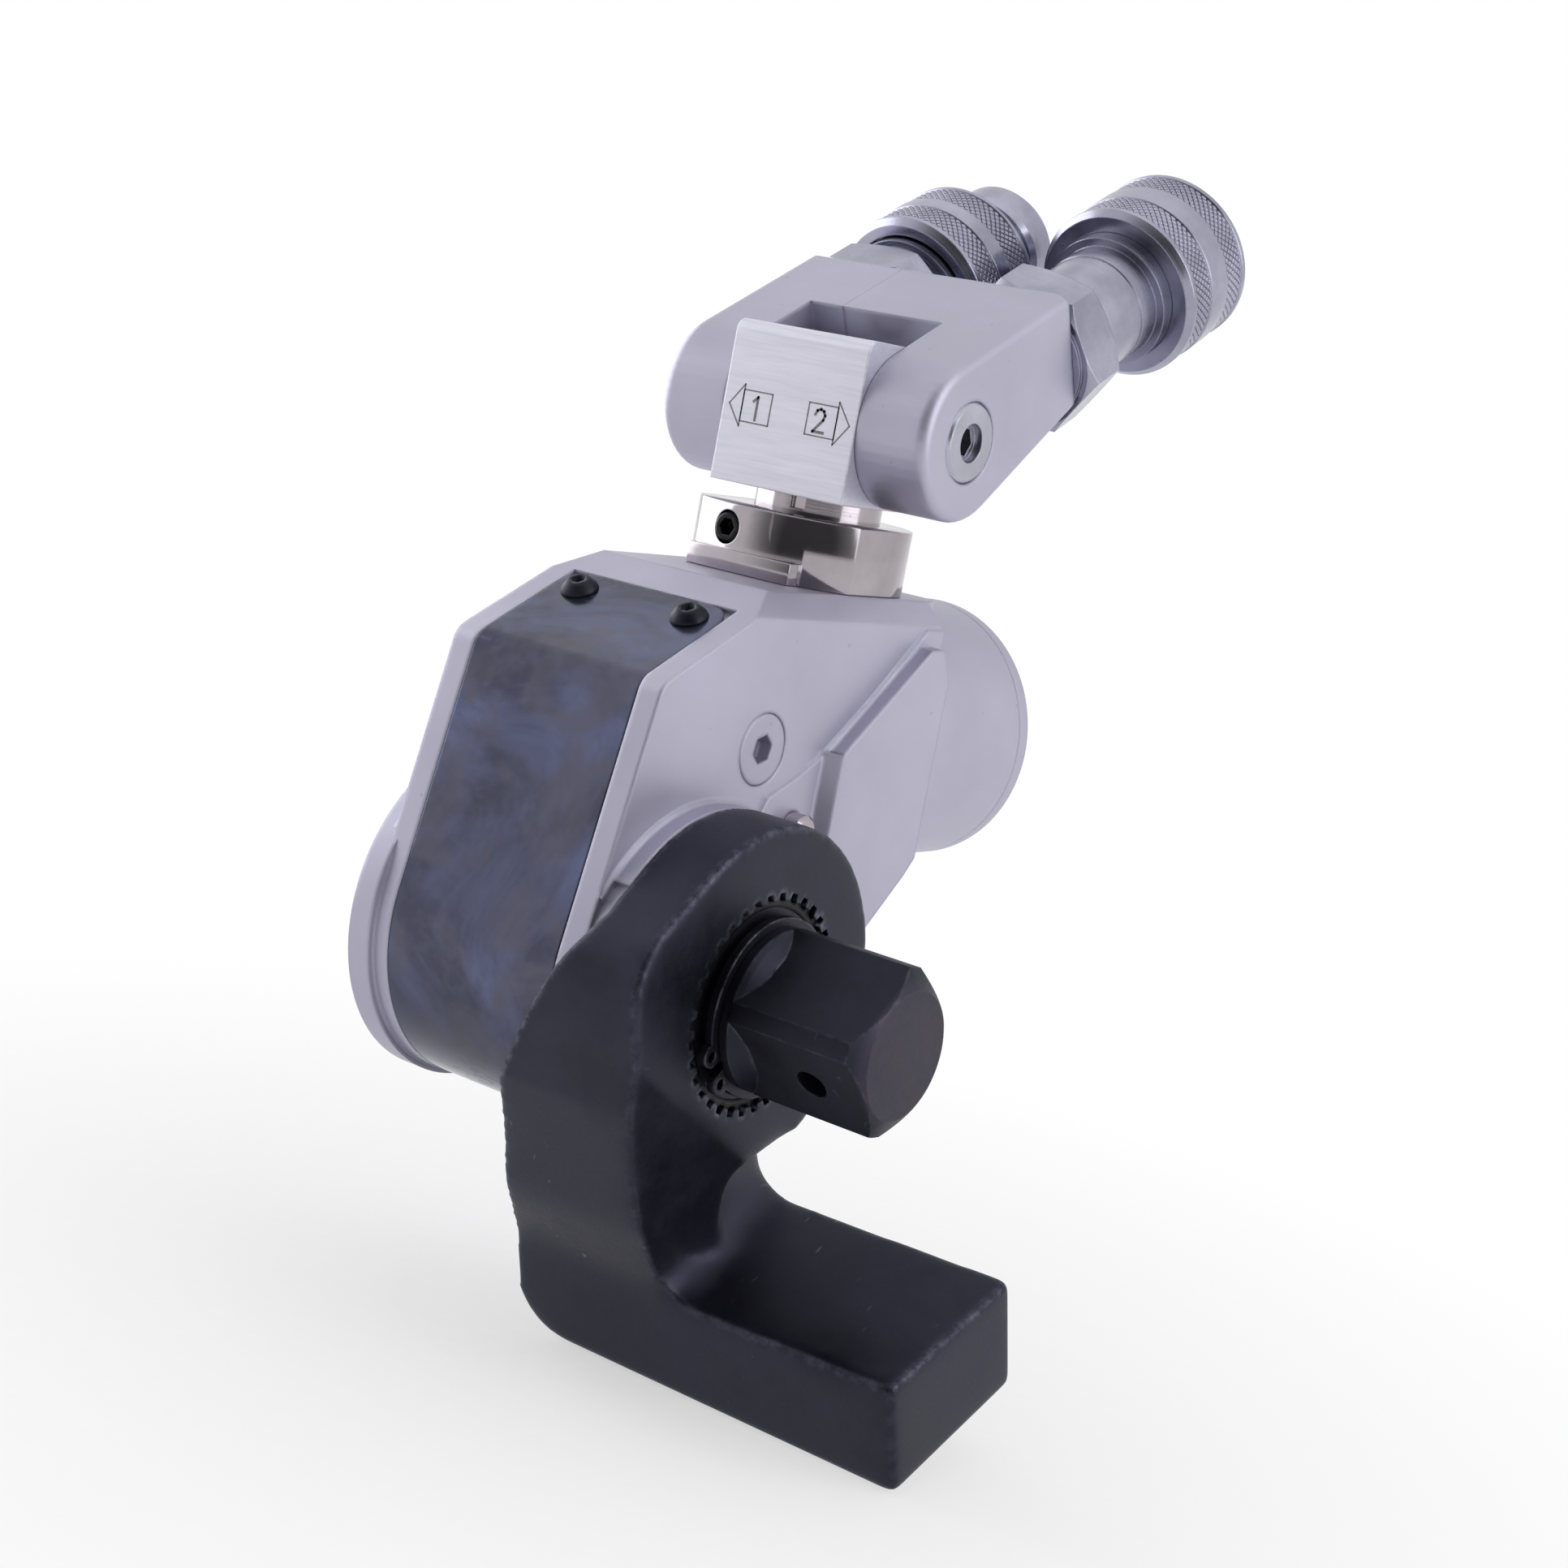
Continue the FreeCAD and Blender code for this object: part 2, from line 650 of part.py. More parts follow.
def ratchet_wheel():
    """Ratchet wheel with saw teeth, broached onto the shaft spline."""
    pts = []
    pitch = 360.0 / RATCHET_N
    for i in range(RATCHET_N):
        a = 90.0 - i * pitch
        pts.append(polar(RATCHET_R, a))
        pts.append(polar(RATCHET_R, a - pitch * 0.08))
        pts.append(polar(RATCHET_R - 1.15, a - pitch * 0.96))
    s = prism_x(pts, MID_X - 6.0, MID_X + 6.0)
    spl = spline_profile(11.03, SHAFT_R, 18, MID_X - 8, MID_X + 8, 0.46, 0.64)
    return s.cut(spl)


def bush(side):
    """Flanged bronze bush of the drive shaft."""
    if side > 0:
        x0 = MID_X + CAV_HALF + 0.3
        x1 = BOSS_FACE_X - 0.25
        r = SHAFT_R
    else:
        x0 = MID_X - BOSS_HALF + 0.8
        x1 = MID_X - CAV_HALF - 0.3
        r = 10.04
    s = tube((x0, 0, 0), AX, BUSH_R - SEAT, r, x1 - x0)
    if side < 0:
        s = s.cut(rod((MID_X - CAV_HALF - 8.3, 0, 0), AX, SHAFT_R, 20))
    return s


def drive_cap():
    """Knurled cap on the left end of the shaft that holds the drive in."""
    x1 = MID_X - BOSS_HALF - 0.5
    disc = rod((x1 - 3.6, 0, 0), AX, 17.0, 3.6)
    disc = disc.makeChamfer(0.8, [e for e in disc.Edges if e.Closed and e.BoundBox.XMax < x1 - 3.5])
    bore = rod((x1 - 6.0, 0, 0), AX, 10.02, 9.0)
    s = disc.cut(bore)
    for i in range(6):
        y, z = polar(13.6, 60 * i + 30)
        s = s.cut(rod((x1 - 3.7, y, z), AX, 1.0, 1.6))
    return s


def cap_ring():
    """Snap ring that holds the cap on the shaft."""
    ring = tube((-86.3, 0, 0), AX, 11.4, 9.22, 1.1)
    return ring.cut(prism_x([(0, 0), polar(20, 84), polar(20, 96)], -88, -84))


def release_button():
    """Push button in the shaft end that frees the drive."""
    head = rod((-96.2, 0, 0), AX, 5.2, 2.4)
    head = head.makeChamfer(0.5, [e for e in head.Edges if e.Closed and e.BoundBox.XMax < -96.1])
    stem = rod((-94.5, 0, 0), AX, 3.2 - RUN, 18.0)
    return fuse([head, stem])


# Lever, pawl, piston

def lever_plate(side):
    """Side plate of the drive lever, with the slot for the rod pin."""
    x0 = MID_X + side * (LEVER_X - LEVER_T)
    x1 = MID_X + side * LEVER_X
    lo = min(x0, x1)
    ring = rod((lo, 0, 0), AX, LEVER_R, LEVER_T)
    top = [(-12.5, 12.0), (-6.4, LEVER_ARM + 1.5), (-4.5, LEVER_ARM + 5.6)]
    top += [(-y, z) for y, z in reversed(top)]
    arm = prism_x(top, lo, lo + LEVER_T)
    s = fuse([ring, arm])
    s = s.cut(rod((lo - 1, 0, 0), AX, LEVER_HOLE_R, LEVER_T + 2))
    slot = [(0.0, LEVER_ARM + 1.4, 4.1, 0.0, 180.0), (0.0, LEVER_ARM - 1.4, 4.1, 180.0, 360.0)]
    s = s.cut(prism_x(slot, lo - 1, lo + LEVER_T + 1))
    for a in SPACERS:
        y, z = polar(SPACER_R, a)
        s = s.cut(rod((lo - 1, y, z), AX, 1.52, LEVER_T + 2))
    return turn_x(s, -LEVER_SWING / 2.0)


def lever_pins():
    """Spacer pins that join the two lever plates."""
    out = []
    for a in SPACERS:
        y, z = polar(SPACER_R, a)
        core = rod((MID_X - LEVER_X + 0.1, y, z), AX, 1.5, 2 * LEVER_X - 0.2)
        mid = rod((MID_X - LEVER_X + LEVER_T + 0.02, y, z), AX, 2.2, 2 * (LEVER_X - LEVER_T) - 0.04)
        out.append(turn_x(fuse([core, mid]), -LEVER_SWING / 2.0))
    return out


def pawl():
    """Toothed drive segment that sits between the lever plates above the wheel."""
    lift = 1.5
    w = LEVER_X - LEVER_T - 0.35
    pts = []
    pitch = 360.0 / RATCHET_N
    n = 4
    start = 90.0 + 2.0 * pitch
    for i in range(n):
        a = start - i * pitch
        y, z = polar(RATCHET_R + 0.12, a)
        pts.append((y, z + lift))
        y, z = polar(RATCHET_R - 1.0, a - pitch * 0.9)
        pts.append((y, z + lift))
    y, z = polar(RATCHET_R + 0.12, start - n * pitch)
    pts += [(y, z + lift), (7.6, 17.6), (7.6, 22.6), (-7.6, 22.6), (-7.6, 17.6)]
    s = prism_x(pts, MID_X - w, MID_X + w)
    for x in (-3.4, 3.4):
        s = s.cut(rod((MID_X + x, 0, 20.6), AZ, 1.9, 4))
    return s


def pawl_guide():
    """Block fixed between the lever plates that guides the pawl."""
    w = LEVER_X - LEVER_T - 0.03
    s = box(MID_X - w, MID_X + w, -9.6, 9.6, 16.6, 25.5)
    s = s.cut(box(MID_X - w - 1, MID_X + w + 1, -7.95, 7.95, 10.0, 24.6))
    s = s.cut(rod((MID_X - 20, 0, 0), AX, 15.4, 40))
    top = [e for e in s.Edges if e.BoundBox.ZMin > 25.4 and e.BoundBox.XLength > 5]
    return s.makeChamfer(1.6, [e for e in top if abs(abs(e.BoundBox.YMin) - 9.6) < 0.01])


def pawl_springs():
    """Two springs that press the pawl to the wheel."""
    return [coil((MID_X + x, 0, 20.9), AZ, 1.25, 0.5, 0.8, 4.2) for x in (-3.4, 3.4)]


def rod_pin():
    """Cross pin at the rod end."""
    y, z = REST_PIN
    s = rod((MID_X - LEVER_X + 0.2, y, CYL_Z), AX, 4.0, 2 * LEVER_X - 0.4)
    return s


def piston_rod():
    """Rod from the piston to the cross pin."""
    y0 = REST_PIN[0]
    eye = rod((MID_X - 6.4, y0, CYL_Z), AX, 6.6, 12.8)
    stem = rod((MID_X, y0 + 3.0, CYL_Z), AY, ROD_R, PISTON_Y0 - y0 - 3.0 + 2.5)
    s = fuse([eye, stem])
    return s.cut(rod((MID_X - 20, y0, CYL_Z), AX, 4.02, 40))


def piston():
    """Piston with two ring grooves and a blind hole for the rod."""
    prof = [(0, 0), (0, 13.0), (0.8, 13.95), (3.0, 13.95), (3.0, 12.0), (5.4, 12.0), (5.4, 13.95),
            (8.6, 13.95), (8.6, 12.0), (11.0, 12.0), (11.0, 13.95), (13.2, 13.95), (14.0, 13.0), (14.0, 0)]
    s = revolve_y(prof, PISTON_Y0)
    return s.cut(rod((MID_X, PISTON_Y0 - 1, CYL_Z), AY, ROD_R + SEAT, 3.6))


def revolve_y(profile, y0):
    """Solid of revolution about the cylinder axis; profile holds (y, r)."""
    vs = [V(MID_X + r, y0 + y, CYL_Z) for y, r in profile]
    vs.append(vs[0])
    return Part.Face(Part.makePolygon(vs)).revolve(V(MID_X, 0, CYL_Z), AY, 360)


def ring_y(y, r, wire):
    """O-ring about the cylinder axis."""
    return Part.makeTorus(r, wire, V(MID_X, y, CYL_Z), AY)


def piston_seals():
    """Two O-rings on the piston."""
    return [ring_y(PISTON_Y0 + 4.2, 12.98, 0.95), ring_y(PISTON_Y0 + 9.8, 12.98, 0.95)]


def rod_gland():
    """Bronze gland round the rod at the front of the cylinder."""
    s = rod((MID_X, 22.02, CYL_Z), AY, PISTON_R - SEAT, 8.0)
    s = s.cut(rod((MID_X, 20, CYL_Z), AY, ROD_R + RUN, 12))
    s = s.cut(tube((MID_X, 25.0, CYL_Z), AY, 15.0, 12.3, 2.4))
    return s


def gland_seal():
    """O-ring on the gland."""
    return ring_y(26.2, 13.1, 0.8)


def cylinder_cap():
    """Threaded end cap that closes the cylinder, with two spanner holes."""
    r = CAP_R - 0.03
    prof = [(0, 0), (0, 13.6), (0.4, 13.6), (0.4, r), (6.0, r), (6.0, 15.6), (8.2, 15.6), (8.2, r)]
    prof += [(10.0, r), (10.0, CYL_R), (12.6, CYL_R), (14.0, CYL_R - 1.35), (14.0, 0)]
    s = revolve_y(prof, CYL_END_Y - 14.0)
    for side in (-1, 1):
        s = s.cut(rod((MID_X + side * 12.0, CYL_END_Y - 4.0, CYL_Z), AY, 1.6, 6))
    return s.cut(rod((MID_X, CYL_END_Y - 16.0, CYL_Z), AY, 6.0, 8.0))


def cap_seal():
    """O-ring of the end cap."""
    return ring_y(CYL_END_Y - 14.0 + 7.1, 16.35, 0.62)


# Swivel

def clamp_outline(grow):
    """Plan outline of the swivel clamp: rounded front corners and a round back."""
    r = CLAMP_R + grow
    front = 22.4 - grow
    c = 7.0
    pts = []
    for i in range(25):
        a = math.radians(180.0 * i / 24.0)
        pts.append((MID_X + r * math.cos(a), POST_Y + r * math.sin(a)))
    for i in range(9):
        a = math.radians(180.0 + 90.0 * i / 8.0)
        pts.append((MID_X - r + c + c * math.cos(a), front + c + c * math.sin(a)))
    for i in range(9):
        a = math.radians(270.0 + 90.0 * i / 8.0)
        pts.append((MID_X + r - c + c * math.cos(a), front + c + c * math.sin(a)))
    return pts


def swivel_clamp():
    """Plated clamp that carries the swivel post on the body's platform."""
    z0 = PLATFORM_Z + 0.02
    z1 = CLAMP_TOP
    s = prism_z(clamp_outline(0.0), z0, z1)
    flange = box(MID_X - 9.7, MID_X + 9.7, 21.3, 30.0, z0, PLATFORM_Z + 3.4)
    s = fuse([s, flange, rod((MID_X, POST_Y, z0 - SPIGOT_H), AZ, SPIGOT_R, SPIGOT_H + 1.0)])
    s = s.cut(rod((MID_X, POST_Y, z0 - 10), AZ, POST_R + SLIDE, 30))
    s = s.cut(rod((SET_X, 20.0, SET_Z), AY, 2.3, 12.0))
    return s


def clamp_set_screw():
    """Black socket set screw in the clamp's front."""
    s = rod((SET_X, 22.0, SET_Z), AY, 2.28, 7.6)
    s = s.makeChamfer(0.3, [e for e in s.Edges if e.Closed])
    return s.cut(hexagon((SET_X, 21.9, SET_Z), AY, 2.5, 2.2))


def swivel_post():
    """Hollow post that turns in the clamp and carries the block."""
    z = PLATFORM_Z
    r = POST_R - 0.01
    top = BLOCK_BASE - SEAT
    prof = [(z + 0.7, 0), (z + 0.7, 9.2), (z + 1.3, r), (z + 2.3, r), (z + 2.3, 8.4), (z + 4.1, 8.4)]
    prof += [(z + 4.1, r), (z + 6.7, r), (z + 6.7, 8.4), (z + 8.5, 8.4), (z + 8.5, r), (top, r), (top, 0)]
    vs = [V(MID_X + r, POST_Y, z) for z, r in prof]
    vs.append(vs[0])
    s = Part.Face(Part.makePolygon(vs)).revolve(V(MID_X, POST_Y, 0), AZ, 360)
    s = s.cut(rod((MID_X, POST_Y, 50), AZ, 3.3, 30))
    flat = box(MID_X + 1.5, MID_X + 11, POST_Y - 11, POST_Y - 9.2, CLAMP_TOP + 0.8, 70.0)
    return s.cut(flat)


def post_seals():
    """Two O-rings on the post."""
    return [Part.makeTorus(9.2, 0.72, V(MID_X, POST_Y, z), AZ) for z in (PLATFORM_Z + 3.2, PLATFORM_Z + 7.6)]


def swivel_block():
    """Square-fronted block that joins the post to the tilting yoke."""
    x0 = MID_X - BLOCK_W / 2.0
    x1 = MID_X + BLOCK_W / 2.0
    front = box(x0, x1, POST_Y - BLOCK_HALF, POST_Y, BLOCK_BASE, PIVOT_Z + 12.3)
    round_back = rod((x0, POST_Y, PIVOT_Z), AX, 12.3, BLOCK_W)
    foot = box(x0, x1, POST_Y, POST_Y + 8.0, BLOCK_BASE, PIVOT_Z)
    s = fuse([front, round_back, foot])
    top = [e for e in s.Edges if e.BoundBox.ZMin > 94.0 and e.BoundBox.YMax < POST_Y - BLOCK_HALF + 0.1]
    s = s.makeFillet(2.0, top)
    s = s.cut(rod((x0 - 1, POST_Y, PIVOT_Z), AX, PIN_R + RUN, BLOCK_W + 2))
    s = s.cut(rod((MID_X, POST_Y, PIVOT_Z + 7.6), AZ, 5.6, 10))
    s = s.cut(rod((MID_X, POST_Y, 60), AZ, 3.3, 30))
    return s


def block_screw():
    """Hollow socket screw sunk in the block's top that holds it to the post."""
    z = PIVOT_Z + 7.62
    head = rod((MID_X, POST_Y, z), AZ, 5.2, 4.2)
    head = head.makeChamfer(0.5, [e for e in head.Edges if e.Closed and e.BoundBox.ZMin > z + 4])
    return head.cut(hexagon((MID_X, POST_Y, z + 4.21), V(0, 0, -1), 5.0, 2.8))


def yoke_full():
    """Both halves of the tilting yoke in one, drawn level before the split."""
    x0 = MID_X - YOKE_W / 2.0
    t = YOKE_HALF_T
    y = POST_Y
    z = PIVOT_Z
    tail = math.degrees(math.asin(0.18))
    pts = arc_points(y, z, t, 90.0, 270.0 + tail, 26)
    pts += [(y + YOKE_REAR, z - 6.9), (y + YOKE_REAR, z + t)]
    s = prism_x(pts, x0, x0 + YOKE_W)
    rim = [e for e in s.Edges if abs(e.BoundBox.XLength) < 0.01 and e.BoundBox.YMin < y + YOKE_REAR - 0.5]
    s = s.makeFillet(1.8, [e for e in rim if e.Length < 60])
    return s


def yoke_slot():
    """Slot between the yoke arms."""
    half = BLOCK_W / 2 + 0.1
    return box(MID_X - half, MID_X + half, POST_Y - 20, POST_Y + 12.9, PIVOT_Z - 20, PIVOT_Z + 20)


def yoke_half(side):
    """One half of the split yoke, with its pin bore and coupler port."""
    s = yoke_full().cut(yoke_slot())
    lo = SEAM_X + 0.02
    if side > 0:
        s = s.common(box(lo, 0, 0, 100, 40, 120))
    else:
        s = s.common(box(-120, SEAM_X - 0.02, 0, 100, 40, 120))
    x_out = MID_X + side * YOKE_W / 2.0
    a = V(-side, 0, 0)
    s = s.cut(rod((x_out, POST_Y, PIVOT_Z), a, PIN_HEAD_R + 0.03, PIN_HEAD_T + 0.03))
    s = s.cut(rod((x_out, POST_Y, PIVOT_Z), a, PIN_R + 0.02, 20))
    port = port_axis(side)
    s = s.cut(rod((port[0], POST_Y + YOKE_REAR + 1, port[1]), V(0, -1, 0), 5.5, 10.0))
    s = s.cut(rod((port[0], POST_Y + YOKE_REAR, port[1]), V(0, -1, 0), 2.0, 14.0))
    for yy, zz in YOKE_BOLTS:
        s = s.cut(yoke_bolt_hole(yy, zz))
    return tilted(s)


def port_axis(side):
    """X and level Z of a coupler axis."""
    return (MID_X + side * COUPLER_OFF, PIVOT_Z + PORT_DZ)


def yoke_bolt_hole(dy, dz):
    """Counterbored hole across the seam, entered from the left side."""
    y = POST_Y + dy
    z = PIVOT_Z + dz
    x_out = MID_X - YOKE_W / 2.0
    return fuse([rod((x_out - 1, y, z), AX, 2.3, 4.6), rod((x_out, y, z), AX, 1.3, 29.0)])


def yoke_bolts():
    """Two socket screws that close the yoke halves."""
    out = []
    for dy, dz in YOKE_BOLTS:
        y = POST_Y + dy
        z = PIVOT_Z + dz
        x0 = MID_X - YOKE_W / 2.0
        head = rod((x0 + 0.6, y, z), AX, 2.2, 2.96)
        shank = rod((x0 + 3.5, y, z), AX, 1.26, 24.0)
        s = fuse([head, shank])
        out.append(tilted(s.cut(hexagon((x0 + 0.59, y, z), AX, 2.0, 1.5))))
    return out


def pivot_pin(side):
    """Hollow pivot pin with a stepped head and a hex socket."""
    x_out = MID_X + side * (YOKE_W / 2.0 + 0.25)
    a = V(-side, 0, 0)
    head = rod((x_out, POST_Y, PIVOT_Z), a, PIN_HEAD_R, PIN_HEAD_T + 0.25)
    rim = [e for e in head.Edges if e.Closed and abs(e.BoundBox.XMin - x_out) < 0.01]
    head = head.makeChamfer(0.6, rim)
    stem = rod((x_out, POST_Y, PIVOT_Z), a, PIN_R, 22.0)
    s = fuse([head, stem])
    s = s.cut(rod((x_out, POST_Y, PIVOT_Z), a, 3.0, 1.4))
    return tilted(s.cut(hexagon((x_out - side * 1.3, POST_Y, PIVOT_Z), a, 4.0, 5.0)))


# Couplers: right is the female side, left is the male side

def coupler_part(side, profile):
    """Turned part on a coupler axis; profile holds (distance from pivot, radius)."""
    x, z = port_axis(side)
    vs = [V(x + r, POST_Y + d, z) for d, r in profile]
    vs.append(vs[0])
    return Part.Face(Part.makePolygon(vs)).revolve(V(x, 0, z), AY, 360)


def hex_on(side, d0, length, flats, spin):
    """Chamfered hexagon on a coupler axis."""
    x, z = port_axis(side)
    s = hexagon((x, POST_Y + d0, z), AY, flats, length, spin)
    r = flats / math.sqrt(3.0)
    low = flats / 2 + 0.1
    high = r + 0.1
    d1 = d0 + length
    c = coupler_part(side, [(d0, 0), (d0, low), (d0 + 1.2, high), (d1 - 1.2, high), (d1, low), (d1, 0)])
    return s.common(c)


def nipple_right():
    """Hex adapter and smooth tube of the right coupler."""
    hexa = hex_on(1, 30.2, 8.6, 23.0, 12.0)
    washer = coupler_part(1, [(29.55, 2.6), (29.55, 10.6), (30.3, 10.6), (30.3, 2.6)])
    stem = coupler_part(1, [(21.0, 2.6), (21.0, 4.6), (21.6, 5.4), (30.0, 5.4), (30.0, 2.6)])
    prof = [(38.0, 2.6), (38.0, 9.4), (51.0, 9.4), (51.0, 9.55), (55.4, 9.55), (55.4, 10.96)]
    prof += [(70.4, 10.96), (70.4, 2.6)]
    tube_part = coupler_part(1, prof)
    return tilted(fuse([hexa, washer, stem, tube_part]))


def knurl_bands(spans):
    """Profile points of the shallow bands that carry the knurl."""
    pts = []
    for d0, d1 in spans:
        pts += [(d0, COLLAR_R), (d0 + 0.3, KNURL_ROOT_R), (d1 - 0.3, KNURL_ROOT_R), (d1, COLLAR_R)]
    return pts


def collar_right():
    """Knurled collar that spins on the right coupler."""
    prof = [(58.2, 11.0), (58.2, 13.5), (59.4, COLLAR_R)]
    prof += knurl_bands([(60.2, 65.4), (70.4, 75.6)])
    prof += [(76.4, COLLAR_R), (77.4, 13.6), (77.4, 12.0), (71.2, 12.0), (71.2, 11.0)]
    s = coupler_part(1, prof)
    return tilted(s)


def poppet(side, d0):
    """Sprung shut-off poppet in a coupler's mouth."""
    s = coupler_part(side, [(d0, 0), (d0, 2.4), (d0 + 9.0, 2.4), (d0 + 10.4, 1.2), (d0 + 10.4, 0)])
    return tilted(s)


def nipple_left():
    """Hex adapter, stem and tapered nose of the left coupler."""
    hexa = hex_on(-1, 30.2, 8.6, 23.0, 0.0)
    washer = coupler_part(-1, [(29.55, 2.6), (29.55, 10.6), (30.3, 10.6), (30.3, 2.6)])
    stem = coupler_part(-1, [(21.0, 2.6), (21.0, 4.6), (21.6, 5.4), (30.0, 5.4), (30.0, 2.6)])
    prof = [(38.0, 2.6), (38.0, 10.2), (41.6, 10.2), (41.6, 11.4), (46.0, 11.4), (46.0, 11.0)]
    prof += [(60.0, 11.0), (60.0, 2.6)]
    body = coupler_part(-1, prof)
    return tilted(fuse([hexa, washer, stem, body]))


def plug_left():
    """Necked nose of the left coupler with two wrench flats."""
    prof = [(60.05, 2.6), (60.05, 10.6), (62.6, 10.6), (64.6, 9.0), (66.0, 8.2), (66.0, 9.9), (67.4, 10.3)]
    prof += [(72.0, 10.3), (73.8, 9.0), (73.8, 5.2), (72.0, 5.2), (72.0, 2.6)]
    s = coupler_part(-1, prof)
    x, z = port_axis(-1)
    for z0, z1 in ((z - 30, z - 8.6), (z + 8.6, z + 30)):
        s = s.cut(box(x - 20, x + 20, POST_Y + 61.4, POST_Y + 65.9, z0, z1))
    return tilted(s)


def collar_left():
    """Knurled collar that spins on the left coupler."""
    prof = [(43.2, 11.75), (43.2, 13.4), (44.4, COLLAR_R)]
    prof += knurl_bands([(45.2, 50.4), (53.6, 58.8)])
    prof += [(59.4, COLLAR_R), (60.4, 13.6), (60.4, 11.04), (46.6, 11.04), (46.6, 11.75)]
    s = coupler_part(-1, prof)
    return tilted(s)


# Reaction arm

def arm_outline():
    """Outline of ring, ear and neck, drawn upright in the arm's own frame."""
    end = math.degrees(math.acos(FOOT_W1 / RING_R))
    return [
        (0.0, 0.0, RING_R, -end, 107.0),
        polar(RING_R + 3.1, 135.6),
        polar(RING_R + 3.7, 146.0),
        polar(RING_R + 3.6, 152.0),
        (-RING_R - 0.9, 8.0),
        (-RING_R - 0.8, -6.0),
        (-RING_R + 1.8, -21.0),
        (-RING_R + 2.9, -28.5),
        (FOOT_W0, -FOOT_TOP - 0.5),
        (FOOT_W0, -FOOT_TOP - 5.0),
        (FOOT_W1, -FOOT_TOP - 5.0),
    ]


def foot_top(x):
    """Height of the foot's top face at a given X."""
    return -FOOT_TOP + FOOT_RISE * (x - FOOT_END_X)


def arm_foot():
    """Foot and heel of the arm: an L profile across its width."""
    r = 9.5
    heel = [(-44.0, foot_top(-44.0)), (NECK_REAR_X, -27.6)]
    pts = [(FOOT_END_X, -FOOT_BASE), (FOOT_END_X, foot_top(FOOT_END_X))] + heel
    for i in range(9):
        a = math.radians(180.0 + 90.0 * i / 8.0)
        pts.append((NECK_REAR_X + r + r * math.cos(a), r - FOOT_BASE + r * math.sin(a)))
    vs = [V(x, FOOT_W0, h) for x, h in pts]
    vs.append(vs[0])
    s = Part.Face(Part.makePolygon(vs)).extrude(V(0, FOOT_W1 - FOOT_W0, 0))
    tip = [e for e in s.Edges if abs(e.BoundBox.XMax - FOOT_END_X) < 0.01]
    return s.makeChamfer(0.7, [e for e in tip if e.BoundBox.XLength < 0.01 or e.BoundBox.YLength < 0.01])


def front_room(w, x):
    """Section at a given width of the room in front of the neck and over the foot."""
    r = NECK_FILLET
    base = foot_top(x)
    corner = [V(x + r, w, foot_top(x + r)), V(x + 0.29 * r, w, base + 0.29 * r), V(x, w, base + r)]
    far = V(30.0, w, foot_top(30.0))
    top = V(x, w, 40.0)
    end = V(30.0, w, 40.0)
    edges = [Part.makeLine(far, corner[0]), Part.Arc(*corner).toShape(), Part.makeLine(corner[2], top)]
    edges += [Part.makeLine(top, end), Part.makeLine(end, far)]
    return Part.Wire(edges)


def neck_fall():
    """Wedge under the slanted lower edge of the ring's flat face."""
    u = V(0, 0.6294, -0.7775)
    n = V(0, -0.7775, -0.6294)
    p = V(ARM_FRONT_X, -0.68 * NOSE_R, -0.328 * NOSE_R) - u * 60.0
    vs = [p - n * 2.5 + AX, p - n * 2.5 + AX * 40.0, p + n * 50.0 + AX * 40.0, p + n * 50.0 - AX * 20.0]
    vs.append(vs[0])
    return Part.Face(Part.makePolygon(vs)).extrude(u * 120.0)


def neck_front_cut():
    """Everything in front of the neck: the fall below the ring and the room over the foot."""
    left = -40.0
    right = 30.0
    turn = (NECK_FRONT_X + 35.0) / (FOOT_W1 - FOOT_W0)
    wires = [front_room(w, NECK_FRONT_X - turn * (w - FOOT_W0)) for w in (left, right)]
    room = Part.makeLoft(wires, True, True)
    under = box(-70.0, 40.0, -6.0, right, -60.0, -18.0).cut(rod((-80.0, 0, 0), AX, RING_R, 130.0))
    return room.common(neck_fall().fuse(under))


def neck_rear_cut():
    """Everything behind the neck: a slanted face along the nose, then a steeper one down the heel."""
    line = [(ARM_BACK_X, 12.0), (-51.6, -16.8), (-58.8, -44.5), (-60.6, -70.0)]
    vs = [V(ARM_BACK_X, -60, 60.0)] + [V(x, -60, z) for x, z in line]
    vs += [V(-130, -60, -70.0), V(-130, -60, 60.0)]
    vs.append(vs[0])
    return Part.Face(Part.makePolygon(vs)).extrude(V(0, 120, 0))


def reaction_arm():
    """Splined ring, neck and foot of the reaction arm in one forging."""
    s = prism_x(arm_outline(), NECK_REAR_X, ARM_FRONT_X)
    s = s.cut(neck_front_cut())
    s = s.cut(rod((-100, 0, 0), AX, NOSE_R + GAP, 100 + ARM_BACK_X))
    s = s.cut(box(-100, ARM_BACK_X, FOOT_W1, 60, -39.0, 60))
    s = s.cut(box(-100, ARM_BACK_X, -18.0, 60, 0, 60))
    s = turn_x(s.fuse(arm_foot()), ARM_TURN).cut(neck_rear_cut())
    hole = spline_profile(SPLINE_ROOT + 0.2, SPLINE_TIP + 0.25, SPLINE_N, -60, 0, 0.40, 0.64)
    return s.cut(hole).removeSplitter()


